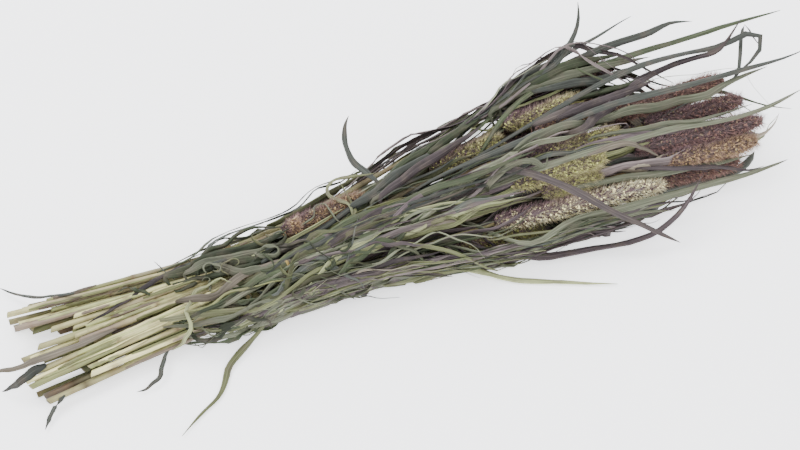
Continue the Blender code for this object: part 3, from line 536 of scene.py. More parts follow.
straw_data = bmesh.new()
bmesh.ops.create_cone(straw_data, cap_ends=True, segments=STRAW_SIDES, radius1=1, radius2=1, depth=1)
long_edges = [edge for edge in straw_data.edges if abs(edge.verts[0].co.z - edge.verts[1].co.z) > 0.5]
bmesh.ops.subdivide_edges(straw_data, edges=long_edges, cuts=STRAW_RINGS - 2, use_grid_fill=True)
cut_face = min(straw_data.faces, key=lambda face: face.calc_center_median().z)
bmesh.ops.inset_region(straw_data, faces=[cut_face], thickness=STRAW_WALL)
hollow = bmesh.ops.extrude_discrete_faces(straw_data, faces=[cut_face])["faces"]
bmesh.ops.translate(straw_data, vec=(0, 0, STRAW_HOLLOW), verts=list({v for f in hollow for v in f.verts}))
STRAW = shape_from(straw_data)
print("corners in a straw:", len(STRAW["spots"]))

# %% Sizes and colours of the straws
STEM_RADIUS_CUT, STEM_RADIUS_NECK = 0.0027, 0.0016
SLIM_RADIUS = 0.0020
FIRST_JOINT, JOINT_SPACING = (0.02, 0.09), (0.09, 0.16)
JOINT_LENGTH, JOINT_SWELL, JOINT_STAIN = 0.003, 0.16, 0.8
WRAP_LENGTHS, WRAP_SWELL, WRAP_SHADE = (0.04, 0.12), 1.12, 0.8
FLUTES = 0.05
OVAL = (0.72, 0.98)
CUT_SLANT, CUT_TAPER = 0.7, 40
HOLLOW_DEPTH, HOLLOW_FROM, HOLLOW_TO = 0.004, -0.495, 0.4
WALL_FROM = 0.9
STRAW_PALE, STRAW_GREEN, STRAW_MAUVE = colour(214, 208, 152), colour(158, 162, 110), colour(142, 128, 112)
STRAW_COLOURS, STRAW_CHANCES = (STRAW_PALE, STRAW_GREEN, STRAW_MAUVE), (0.5, 0.26, 0.24)
DIMMEST_STRAW, STRAW_CONTRAST = 0.15, 0.6
SHADED_FROM, SHADED_BY, SHADED_STRAW = 0.16, 0.26, 0.35
JOINT_BROWN = colour(84, 64, 44)
PITH = colour(226, 214, 176)
print("a stem is", 2000 * STEM_RADIUS_CUT, "mm thick where it is cut")

# %% Side and up along a line
LOOK_AHEAD = 0.01


def side_and_up(line, along):
    """(points, forward, side, up) of a line at shares of its length."""
    beyond, behind = np.clip(along + LOOK_AHEAD, 0, 1), np.clip(along - LOOK_AHEAD, 0, 1)
    ahead = unit(smooth_line(line, beyond) - smooth_line(line, behind))
    side = unit(np.cross(ahead, (0.0, 0.0, 1.0)))
    return smooth_line(line, along), ahead, side, np.cross(side, ahead)


print("up, at the middle of the first stem:", side_and_up(stalks[0]["stem"], np.array([0.5]))[3].round(2))

# %% [markdown]
# ## Bending the straws
# Each straw has its own colour, joints and slightly oval girth, and the cut end is never quite square. A
# Curve modifier with a texture for the joints would bend the cylinder, but a joint would then be paint
# alone. So the corners are moved ring by ring, and the joints and wrapped sheaths swell the ring and
# colour it at once. Towards the middle of the bunch the straws get darker, as the leaves shade them.

# %% Bending a straw


def lay_straw(line, radius_cut, radius_end):
    """The straw's corners along a line, with joints, wrapped blades and a colour for each corner."""
    spots = STRAW["spots"]
    along = np.clip(spots[:, 2] + 0.5, 0.0, 1.0)
    middle, ahead, side, up = side_and_up(line, along)
    length = np.linalg.norm(np.diff(line, axis=0), axis=1).sum()
    angle = np.arctan2(spots[:, 1], spots[:, 0])
    reach = np.hypot(spots[:, 0], spots[:, 1])
    fluted = 1 + FLUTES * np.cos(3 * angle + rng.uniform(0, 6))
    radius = (radius_cut + (radius_end - radius_cut) * along) * fluted
    own_colour = STRAW_COLOURS[rng.choice(3, p=STRAW_CHANCES)]
    brightness = DIMMEST_STRAW + (1 - DIMMEST_STRAW) * rng.uniform() ** STRAW_CONTRAST
    tint = np.tile(own_colour * brightness, (len(spots), 1))
    joint = rng.uniform(*FIRST_JOINT)
    while joint < length:
        away = along * length - joint
        wrapped = (away > 0) & (away < rng.uniform(*WRAP_LENGTHS))
        radius = radius * np.where(wrapped, WRAP_SWELL, 1.0)
        sheath_colour = STRAW_COLOURS[rng.integers(3)] * WRAP_SHADE
        tint = np.where(wrapped[:, None], 0.5 * tint + 0.5 * sheath_colour, tint)
        at_joint = np.exp(-((away / JOINT_LENGTH) ** 2))
        radius = radius * (1 + JOINT_SWELL * at_joint)
        stain = JOINT_STAIN * at_joint[:, None]
        tint = tint * (1 - stain) + JOINT_BROWN * stain
        joint += rng.uniform(*JOINT_SPACING)
    tint = tint * np.interp(along * length, (SHADED_FROM, SHADED_BY), (1.0, SHADED_STRAW))[:, None]
    flat = rng.uniform(*OVAL)
    placed = middle + (np.cos(angle) * reach * radius)[:, None] * side
    placed += (np.sin(angle) * reach * radius * flat)[:, None] * up
    inside = reach < WALL_FROM
    tint = np.where(inside[:, None], PITH * 0.6, tint)
    deep = (spots[:, 2] > HOLLOW_FROM) & inside & (spots[:, 2] < HOLLOW_TO)
    at_cut = np.clip(1 - along * CUT_TAPER, 0, 1)
    slant = rng.uniform(-CUT_SLANT, CUT_SLANT) * at_cut * reach * np.cos(angle) * radius_cut
    placed += (np.where(deep, HOLLOW_DEPTH, 0.0) + slant)[:, None] * ahead
    # Deep in the hollow the pith's colour is darkened to a fifth: painted shade in the recess.
    tint = np.where(deep[:, None], PITH * 0.2, tint)
    placed[:, 2] = np.maximum(placed[:, 2], 0.0)
    places = np.column_stack((along * length, angle * STEM_RADIUS_CUT))
    return {"spots": placed, "places": places, "tints": tint}


for stalk in stalks:
    stalk["straws"] = [(stalk["stem"], lay_straw(stalk["stem"], STEM_RADIUS_CUT, STEM_RADIUS_NECK))]
print("straws laid:", len(stalks))

# %% [markdown]
# ## Slim straws in the grooves
# The model's stems are plain rods, so the light falls through between them, where the photograph shows
# more straw. Thicker rods would close the gaps but look like bamboo. Slim straws are laid instead, as they
# would settle by themselves: in the groove on top of two neighbours. Straws that lie lower get less light
# in the photograph than in the render, so their own colour is made darker.

# %% Slim straws in the grooves
GROOVE_STATION, GROOVE_END, GROOVE_POINTS = -0.30, -0.16, 9
GROOVE_STARTS = (-0.004, 0.03)
MOST_GROOVE = 0.013
SLIM_TAPER = 0.8
COVERED_WITHIN = 0.004
TUCKED_SHADE = 0.4


def nestled(first, second, stations):
    """A line that lies in the groove on top of two neighbouring stems."""
    a, b = (
        np.column_stack([np.interp(stations, stalk["stem"][:, 0], stalk["stem"][:, k]) for k in (1, 2)])
        for stalk in (first, second)
    )
    apart = b - a
    width = np.linalg.norm(apart, axis=1)
    rise = np.sqrt(np.maximum((STEM_RADIUS_CUT + SLIM_RADIUS) ** 2 - (width / 2) ** 2, 0.0))
    upward = np.column_stack((-apart[:, 1], apart[:, 0])) / width[:, None]
    return np.column_stack((stations, (a + b) / 2 + rise[:, None] * upward))


beside = [
    (float(np.interp(GROOVE_STATION, stalk["stem"][:, 0], stalk["stem"][:, 1])),
     float(np.interp(GROOVE_STATION, stalk["stem"][:, 0], stalk["stem"][:, 2])), number)
    for number, stalk in enumerate(stalks)
]
on_top = sorted(
    spot for spot in beside
    if not any(abs(other[0] - spot[0]) < COVERED_WITHIN and other[1] > spot[1] for other in beside)
)
for number, stalk in enumerate(stalks):
    if number not in {spot[2] for spot in on_top}:
        stalk["straws"][0][1]["tints"] *= TUCKED_SHADE
slim = 0
for first, second in zip(on_top, on_top[1:]):
    if second[0] - first[0] < MOST_GROOVE:
        pair = stalks[first[2]], stalks[second[2]]
        start = max(stalk["stem"][0, 0] for stalk in pair) + rng.uniform(*GROOVE_STARTS)
        line = nestled(*pair, np.linspace(start, GROOVE_END, GROOVE_POINTS))
        pair[0]["straws"].append((line, lay_straw(line, SLIM_RADIUS, SLIM_RADIUS * SLIM_TAPER)))
        slim += 1
print("slim straws between them:", slim)

# %% [markdown]
# ## The skin of the bunch
# More blades have to lie on what is already there, like straw thrown on a heap. A simulation of hundreds of
# ribbons would take far too long. Instead the outside of the bunch is kept as a map: for each short stretch
# along it, and each way round its middle line, how far out the outermost thing reaches. A new blade follows
# the map, stays taut over the hollows, and is then added to it.

# %% Where the stalks reach
SKIN_STEP = 0.006
SKIN_MARGIN = 0.03
SKIN_STARTS = np.arange(CAD_BOX[0][0] - SKIN_MARGIN, CAD_BOX[1][0] + SKIN_MARGIN, SKIN_STEP)
MIDDLE_SHARE = 0.42
LONGEST_LEFT_OUT = 2


def stalk_reach(station):
    """(across from, across to, highest) of all stems and heads at a place along the bunch."""
    lows, highs, tops = [], [], []
    for stalk in stalks:
        line = np.concatenate((stalk["stem"], stalk["head"]["line"]))
        if line[0, 0] <= station <= line[-1, 0]:
            across = np.interp(station, line[:, 0], line[:, 1])
            radius = stalk["head"]["radius"] if station > stalk["head"]["low"] else STEM_RADIUS_CUT
            lows.append(across - radius)
            highs.append(across + radius)
            tops.append(np.interp(station, line[:, 0], line[:, 2]) + radius)
    return min(lows), max(highs), max(tops)


def eased(values, reach=6):
    """A running mean, with the ends held."""
    weights = np.ones(2 * reach + 1) / (2 * reach + 1)
    return np.convolve(np.pad(values, reach, mode="edge"), weights, mode="valid")


FIRST_STATION = max(stalk["stem"][0, 0] for stalk in stalks)
LAST_STATION = sorted(stalk["head"]["high"] for stalk in stalks)[-1 - LONGEST_LEFT_OUT]
reaches = np.array([stalk_reach(np.clip(at, FIRST_STATION, LAST_STATION)) for at in SKIN_STARTS])
MID_ACROSS = eased((reaches[:, 0] + reaches[:, 1]) / 2)
MID_HEIGHT = eased(reaches[:, 2] * MIDDLE_SHARE)
print("the bunch is up to", round(float(reaches[:, 2].max()), 3), "m high")

# %% The map of the outside
SKIN_RAYS = 180
MOST_PILE = 0.012
SKIN_NEIGHBOURS = (-1, 0, 1)
skin = np.zeros((len(SKIN_STARTS), SKIN_RAYS))


def skin_place(spots):
    """(row, ray, depth) of points on the map."""
    row = np.clip(((spots[:, 0] - SKIN_STARTS[0]) / SKIN_STEP).round().astype(int), 1, len(SKIN_STARTS) - 2)
    beside, above = spots[:, 1] - MID_ACROSS[row], spots[:, 2] - MID_HEIGHT[row]
    ray = (np.arctan2(above, beside) / (2 * math.pi) % 1.0 * SKIN_RAYS).astype(int) % SKIN_RAYS
    return row, ray, np.hypot(beside, above)


def cover_skin(spots, most=1.0):
    """Raises the map to these points, apart from those that stray further out than most."""
    row, ray, depth = skin_place(spots)
    near = depth < np.broadcast_to(most, skin.shape)[row, ray]
    row, ray, depth = row[near], ray[near], depth[near]
    for rows_on in SKIN_NEIGHBOURS:
        for rays_on in SKIN_NEIGHBOURS:
            np.maximum.at(skin, (row + rows_on, (ray + rays_on) % SKIN_RAYS), depth)


print("the map has", skin.size, "places")

# %% Straws, heads and blades on the map
HEAD_SPINS, HEAD_POINTS = 24, 30
PILE_REACH = 6
for stalk in stalks:
    for _, straw in stalk["straws"]:
        cover_skin(straw["spots"])
    for spin in np.linspace(0, 2 * math.pi, HEAD_SPINS, endpoint=False):
        around = np.array((0.0, math.cos(spin), math.sin(spin))) * stalk["head"]["radius"]
        cover_skin(smooth_line(stalk["head"]["line"], np.linspace(0.0, 1.0, HEAD_POINTS)) + around)
most_out = np.maximum.reduce([np.roll(skin, shift, axis=1) for shift in range(-PILE_REACH, PILE_REACH + 1)])
most_out = np.apply_along_axis(eased, 0, most_out) + MOST_PILE
for stalk in stalks:
    for blade in stalk["laid"]:
        cover_skin(blade["spots"], most_out)
print("skin reaches", round(float(skin.max()), 3), "m from the middle line")

# %% [markdown]
# ## What a new blade keeps clear of
# In the photograph the seed heads lie on top and the bunch has a clear upper edge. A new blade that is laid
# by rule knows nothing of that. It could be checked by rendering, but that is slow. Instead its route is
# turned into pixels of the photograph, and it is left out where it would hide a head or pass the edge.

# %% Heads and upper edge in the photograph
SHOWN_HEADS = 15
HEAD_SPOTS, HEAD_SPAN = 16, (0.05, 0.95)
HEAD_KEEP_CLEAR = 10.0
EDGE_MARGIN = 4.0
PHOTO_EDGE = (
    (160, 280), (195, 258), (235, 250), (273, 230), (301, 221), (359, 197), (390, 173), (412, 148),
    (440, 134), (461, 122), (496, 98),
)
head_pixels = np.concatenate([
    in_photo(smooth_line(stalk["head"]["line"], np.linspace(*HEAD_SPAN, HEAD_SPOTS)))
    for stalk in stalks[:SHOWN_HEADS]
])


def rings_over_heads(route):
    """How many of a route's points show over a seed head."""
    gaps = np.linalg.norm(in_photo(route)[:, None] - head_pixels[None], axis=-1).min(axis=1)
    return (gaps < HEAD_KEEP_CLEAR).sum()


def past_edge(route):
    """Whether a route shows above the upper edge that the photograph shows for the bunch."""
    seen = in_photo(route)
    edge = np.interp(seen[:, 0], *np.transpose(PHOTO_EDGE), left=0, right=0)
    return (seen[:, 1] < edge - EDGE_MARGIN).any()


print("pixels to keep clear of:", len(head_pixels))

# %% [markdown]
# ## The route of a blade laid by rule
# A blade grows from the stem that lies furthest out, rises to the surface of the heap and runs along it
# with a slight drift. Cloth that falls on the heap would find the same place, but slowly. Here the blade
# takes its height from the map, and where the map dips it is drawn taut, like a string over bumps.

# %% The outermost stem
ROOT_CLEAR_OF_CUT, ROOT_CLEAR_OF_HEAD = 0.001, 0.015


def skin_row(stations):
    """The map's rows at places along the bunch."""
    return np.clip(((stations - SKIN_STARTS[0]) / SKIN_STEP).round().astype(int), 1, len(SKIN_STARTS) - 2)


def nearest_stem(station, spin):
    """(stalk, point) of the stem that lies furthest out towards a ray."""
    best = None
    row = int(np.clip((station - SKIN_STARTS[0]) / SKIN_STEP, 1, len(SKIN_STARTS) - 2))
    for stalk in stalks:
        line = stalk["stem"]
        if not line[0, 0] + ROOT_CLEAR_OF_CUT < station < line[-1, 0] - ROOT_CLEAR_OF_HEAD:
            continue
        spot = np.array([station, *(np.interp(station, line[:, 0], line[:, k]) for k in (1, 2))])
        outward = (spot[1] - MID_ACROSS[row]) * math.cos(spin) + (spot[2] - MID_HEIGHT[row]) * math.sin(spin)
        if best is None or outward > best[0]:
            best = (outward, stalk, spot)
    return best and best[1:]


first_root = nearest_stem(VIEW_TARGET.x, math.pi / 2)
print("rows of the map at both ends of the model:", skin_row(np.array([CAD_BOX[0][0], CAD_BOX[1][0]])))
print("the topmost stem below the camera's target:", first_root[0]["node"])

# %% The route of a blade laid by rule
RULE_POINTS = 15
BLADE_GAP = 0.0006
TAUT_SAG, TAUT_ROUNDS = 0.0012, 24
DRIFT_RADIUS = 0.035
DRIFT_SWAY, DRIFT_WAVE, DRIFT_PHASE = 0.4, 5, 40
LIFT_FROM = 0.6
LOWEST_ROUTE = 0.0012
RAYS_ASIDE = np.arange(-3, 4)


def rule_route(station, spin, length, drift, lift, sink):
    """Root stalk, route and facings of a blade that follows the skin, or runs at a share of its depth."""
    stalk, root = nearest_stem(station, spin)
    shares = np.linspace(0.0, 1.0, RULE_POINTS)
    stations = station + length * shares
    rows = skin_row(stations)
    row, ray, depth = skin_place(root[None])
    sway = DRIFT_SWAY * np.sin(DRIFT_WAVE * shares + drift * DRIFT_PHASE)
    spins = 2 * math.pi * (ray[0] + 0.5) / SKIN_RAYS + drift * (shares + sway) / DRIFT_RADIUS
    rays = (spins / (2 * math.pi) % 1.0 * SKIN_RAYS).astype(int) % SKIN_RAYS
    surface = np.array([
        skin[row - 1 : row + 2, (ray + RAYS_ASIDE) % SKIN_RAYS].max() for row, ray in zip(rows, rays)
    ]) * sink + BLADE_GAP
    depths = surface.copy()
    depths[0] = depth[0]
    for _ in range(TAUT_ROUNDS):
        taut = (depths[:-2] + depths[2:]) / 2 - TAUT_SAG
        depths[2:-1] = np.maximum(surface[2:-1], taut[1:])
    depths[1] = (depths[0] + depths[2]) / 2
    depths += lift * np.clip((shares - LIFT_FROM) / (1 - LIFT_FROM), 0, 1) ** 2
    outward = np.column_stack((np.zeros(RULE_POINTS), np.cos(spins), np.sin(spins)))
    middle = np.column_stack((stations, MID_ACROSS[rows], MID_HEIGHT[rows]))
    route = middle + depths[:, None] * outward
    route[0] = root
    route[:, 2] = np.maximum(route[:, 2], LOWEST_ROUTE)
    return stalk, route, outward


test_route = rule_route(VIEW_TARGET.x, math.pi / 2, 0.1, 0.0, 0.0, 1.0)[1]
print("a blade there would lie up to", round(float(test_route[:, 2].max()), 3), "m high")

# %% [markdown]
# ## Blades laid by rule
# The photograph shows far more leaves than anyone could draw one by one. A particle system would scatter
# them, but they would all be alike and would pass through each other. Here each new blade is laid on all
# those before it, with a root, a length, a width and a drift of its own. Another place is tried where it
# would hide a head, and the roots start near the heads and end near the cut ends, like shingles.

# %% Blades laid by rule
RULE_BLADES, RULE_TRIES = 120, 12
RULE_ROOTS, ROOT_SCATTER, ROOT_CROWDING = (0.065, -0.235), 0.02, 0.8
RULE_SPINS = (-10, 195)
RULE_LENGTHS = (0.14, 0.29)
RULE_DRIFT, RULE_LIFTS = 0.014, (0, 0.006)
RULE_HALF_WIDTH, RULE_WIDTHS = 0.0036, (0.5, 1.25)
MOST_OVER_HEADS = 1
WIDTH_PLACES = (0.0, 0.06, 0.2, 0.45, 0.75, 0.92, 1.0)
WIDTH_SHARES = (0.15, 0.45, 0.85, 1.0, 0.72, 0.3, 0.03)


def blade_halves(half, points):
    """Half widths from a narrow root through a broad middle to a fine tip."""
    return half * np.interp(np.linspace(0, 1, points), WIDTH_PLACES, WIDTH_SHARES)


def lay_by_rule(
    station, spin, length, drift, lift, half, most_over=MOST_OVER_HEADS, sink=1.0, painted_light=1.0, **manner
):
    """Lays a blade by the rule, unless it would hide a head, pass the photo's edge or leave the box."""
    if nearest_stem(station, spin) is None:
        return False
    stalk, route, facings = rule_route(station, spin, length, drift, lift, sink)
    if rings_over_heads(route) > most_over or past_edge(route) or route[-1, 0] > CAD_BOX[1][0]:
        return False
    # The blade's colour is scaled by this factor, which for sunken blades is painted light.
    tint = painted_light * blade_tint(route[RULE_POINTS // 2][0])
    blade = lay_blade(route, blade_halves(half, RULE_POINTS), facings, tint, **manner)
    stalk["laid"].append(blade)
    cover_skin(blade["spots"], most_out)
    return True


laid = 0
for count in range(RULE_BLADES):
    share = count / (RULE_BLADES - 1)
    for _ in range(RULE_TRIES):
        station = RULE_ROOTS[0] + (RULE_ROOTS[1] - RULE_ROOTS[0]) * share ** ROOT_CROWDING
        station += rng.uniform(-ROOT_SCATTER, ROOT_SCATTER)
        spin, length = math.radians(rng.uniform(*RULE_SPINS)), rng.uniform(*RULE_LENGTHS)
        drift, lift = rng.normal(0, RULE_DRIFT), rng.uniform(*RULE_LIFTS)
        half = RULE_HALF_WIDTH * rng.uniform(*RULE_WIDTHS)
        if lay_by_rule(station, spin, length, drift, lift, half, twist=0.55, wander=0.003):
            laid += 1
            break
print("blades laid by rule:", laid)

# %% [markdown]
# ## Sheaths on the straws
# The foot of every leaf wraps round its stem like a sleeve, and on dry straw it splits and lifts off in
# strips. The straws could be given a second, wider tube, cut open, but it would look new and even. A short,
# tightly rolled blade that lies against the straw and lifts at its torn end does it with what is there.

# %% Sheaths on the straws
SHEATH_HALF = (0.0014, 0.0024)
SHEATH_STARTS, SHEATH_SPANS = (0.0, 0.2), (0.14, 0.34)
SHEATH_SPINS = (0.4, 2.7)
SHEATH_GAP, SHEATH_LIFT = 0.0003, 0.002
SHEATH_BRIGHTNESS = (0.2, 0.9)
SHEATH_POINTS = 10
SHEATHS_EACH = 2


def lay_sheath(line, radius):
    """A strip of old leaf sheath that still hugs its straw and lifts off at its torn end."""
    start = rng.uniform(*SHEATH_STARTS)
    along = np.linspace(start, start + rng.uniform(*SHEATH_SPANS), SHEATH_POINTS)
    middle, _, side, up = side_and_up(line, along)
    spin = rng.uniform(*SHEATH_SPINS)
    outward = math.cos(spin) * side + math.sin(spin) * up
    shares = np.linspace(0, 1, SHEATH_POINTS)
    away = radius + SHEATH_GAP + rng.uniform(0, SHEATH_LIFT) * shares ** 3
    half = rng.uniform(*SHEATH_HALF)
    halves = half * np.interp(shares, (0.0, 0.1, 0.8, 1.0), (0.5, 1.0, 0.8, 0.2))
    tint = STRAW_COLOURS[rng.integers(3)] * rng.uniform(*SHEATH_BRIGHTNESS)
    route = middle + away[:, None] * outward
    return lay_blade(route, halves, outward, tint, twist=0.1, wander=0.0003, roll=half / radius, flip=False)


for stalk in stalks:
    for number, (line, _) in enumerate(stalk["straws"]):
        for _ in range(SHEATHS_EACH):
            stalk["laid"].append(lay_sheath(line, STEM_RADIUS_CUT if number == 0 else SLIM_RADIUS))
print("sheaths:", sum(SHEATHS_EACH * len(stalk["straws"]) for stalk in stalks))

# %% [markdown]
# ## Blades underneath
# The photograph doesn't show the side that lies on the table, but light would shine through between the
# stems there, and the other views show it. Blades laid by the map would need it for the underside too. As
# these are flattened between the bunch and the table, they are simply laid in low, nearly level lines that
# run with the bunch, each rooted on the stem that is nearest.

# %% The stem nearest to a spot
STEM_SPOTS, FIRST_SPOT = 60, 0.04
stem_spots = np.concatenate([
    smooth_line(stalk["stem"], np.linspace(FIRST_SPOT, 1.0, STEM_SPOTS)) for stalk in stalks
])


def root_of(spot):
    """(stalk, point) of the stem nearest to a spot."""
    nearest = np.argmin(np.linalg.norm(stem_spots - spot, axis=1))
    return stalks[nearest // STEM_SPOTS], stem_spots[nearest]


print("places for roots:", len(stem_spots))

# %% Blades underneath
UNDER_BLADES = 120
UNDER_HEIGHTS = (0.003, 0.024)
UNDER_LENGTHS, UNDER_ROOTS, UNDER_HALVES = (0.13, 0.22), (-0.25, 0.14), (0.004, 0.0065)
UNDER_SIDE, UNDER_SPREAD, UNDER_SWAY = 0.04, 0.92, 0.03
GOLDEN_SHARE = 0.618034
UNDER_END = 0.02
LOW_UNTIL, LOW_SHARE, FULL_FROM = -0.26, 0.3, -0.16

for count in range(UNDER_BLADES):
    shares = np.linspace(0, 1, RULE_POINTS - 1)
    stations = np.linspace(0.0, rng.uniform(*UNDER_LENGTHS), RULE_POINTS - 1) + rng.uniform(*UNDER_ROOTS)
    stations = np.minimum(stations, LAST_STATION - UNDER_END * (1 - shares))
    low, high = (np.interp(stations, SKIN_STARTS, reaches[:, k]) for k in (0, 1))
    share = (UNDER_SIDE + UNDER_SPREAD * (count * GOLDEN_SHARE % 1.0)) + waves(shares, 3, UNDER_SWAY)
    lowered = np.interp(stations, (LOW_UNTIL, FULL_FROM), (LOW_SHARE, 1.0))
    height = rng.uniform(*UNDER_HEIGHTS) * lowered
    route = np.column_stack((stations, low + share * (high - low), height))
    stalk, root = root_of(route[0])
    route = np.concatenate((root[None], route))
    facings = np.tile((0.0, 0.0, 1.0), (RULE_POINTS, 1))
    tint = blade_tint(route[RULE_POINTS // 2][0])
    halves = blade_halves(rng.uniform(*UNDER_HALVES), RULE_POINTS)
    manner = {"twist": 0.12, "wander": 0.002, "roll": 0.4, "flip": False}
    stalk["laid"].append(lay_blade(route, halves, facings, tint, **manner))
print("blades underneath:", UNDER_BLADES)

# %% [markdown]
# ## Sunken, crossing and wispy blades
# Between the leaves on top the photograph shows darker ones deeper down, short ones that cross the others,
# and fine dry shreds that stand off. They could be made by scattering the rule's blades more widely, but
# each kind needs a depth, width and direction of its own. So the rule is run three more times. Sunken
# blades follow the map at a share of its depth, and those on the far side lie nearly at the surface.

# %% Sunken, crossing and wispy blades
SUNKEN, FAR_SUNKEN, CROSSINGS, WISPS = 44, 36, 36, 56
SUNKEN_SPINS, SUNKEN_DEPTHS = (-12, 185), (0.45, 0.75)
FAR_SPINS, FAR_DEPTHS = (-5, 70), (0.75, 0.97)
SUNKEN_ROOTS, SUNKEN_LENGTHS, SUNKEN_HALVES = (-0.22, 0.16), (0.14, 0.24), (0.003, 0.0055)
# Sunken blades are painted a quarter lighter: painted light for blades that the leaves above keep in shade.
SUNKEN_DRIFT, SUNKEN_PAINTED_LIGHT = 0.01, 1.25
CROSSING_ROOTS, CROSSING_SPINS, CROSSING_LENGTHS = (-0.25, -0.10), (20, 150), (0.06, 0.13)
CROSSING_DRIFTS, CROSSING_LIFTS, CROSSING_HALVES = (0.015, 0.05), (0, 0.008), (0.0018, 0.0042)
WISP_ROOTS, WISP_SPINS, WISP_LENGTHS = (-0.24, 0.17), (0, 185), (0.06, 0.17)
WISP_DRIFT, WISP_LIFTS, WISP_HALVES = 0.02, (0.004, 0.02), (0.0005, 0.0012)
WISPS_OVER_HEADS = 6

for count in range(SUNKEN + FAR_SUNKEN):
    spins, depths = (SUNKEN_SPINS, SUNKEN_DEPTHS) if count < SUNKEN else (FAR_SPINS, FAR_DEPTHS)
    spin, sink = math.radians(rng.uniform(*spins)), rng.uniform(*depths)
    lay_by_rule(
        rng.uniform(*SUNKEN_ROOTS), spin, rng.uniform(*SUNKEN_LENGTHS), rng.normal(0, SUNKEN_DRIFT), 0.0,
        rng.uniform(*SUNKEN_HALVES), most_over=RULE_POINTS, sink=sink, painted_light=SUNKEN_PAINTED_LIGHT,
        twist=0.2, wander=0.002, flip=False,
    )
for _ in range(CROSSINGS):
    lay_by_rule(
        rng.uniform(*CROSSING_ROOTS), math.radians(rng.uniform(*CROSSING_SPINS)),
        rng.uniform(*CROSSING_LENGTHS), rng.choice((-1, 1)) * rng.uniform(*CROSSING_DRIFTS),
        rng.uniform(*CROSSING_LIFTS), rng.uniform(*CROSSING_HALVES), twist=0.8, wander=0.004,
    )
for _ in range(WISPS):
    lay_by_rule(
        rng.uniform(*WISP_ROOTS), math.radians(rng.uniform(*WISP_SPINS)), rng.uniform(*WISP_LENGTHS),
        rng.normal(0, WISP_DRIFT), rng.uniform(*WISP_LIFTS), rng.uniform(*WISP_HALVES),
        most_over=WISPS_OVER_HEADS, twist=0.8, wander=0.004,
    )
print("sunken, crossing and wispy blades:", SUNKEN + FAR_SUNKEN, CROSSINGS, WISPS)

# %% [markdown]
# ## Blades drawn from the photograph
# The most telling leaves are those that anyone would look for when comparing: the pale one along the
# bottom, the curls of the tangle, the dark ones across the heads. Their places in space could be guessed,
# but each guess would have to be checked from the camera. So a blade is given by the pixels that it runs
# over, with its half width, colour and the height of its tip. Its depth comes from the map.

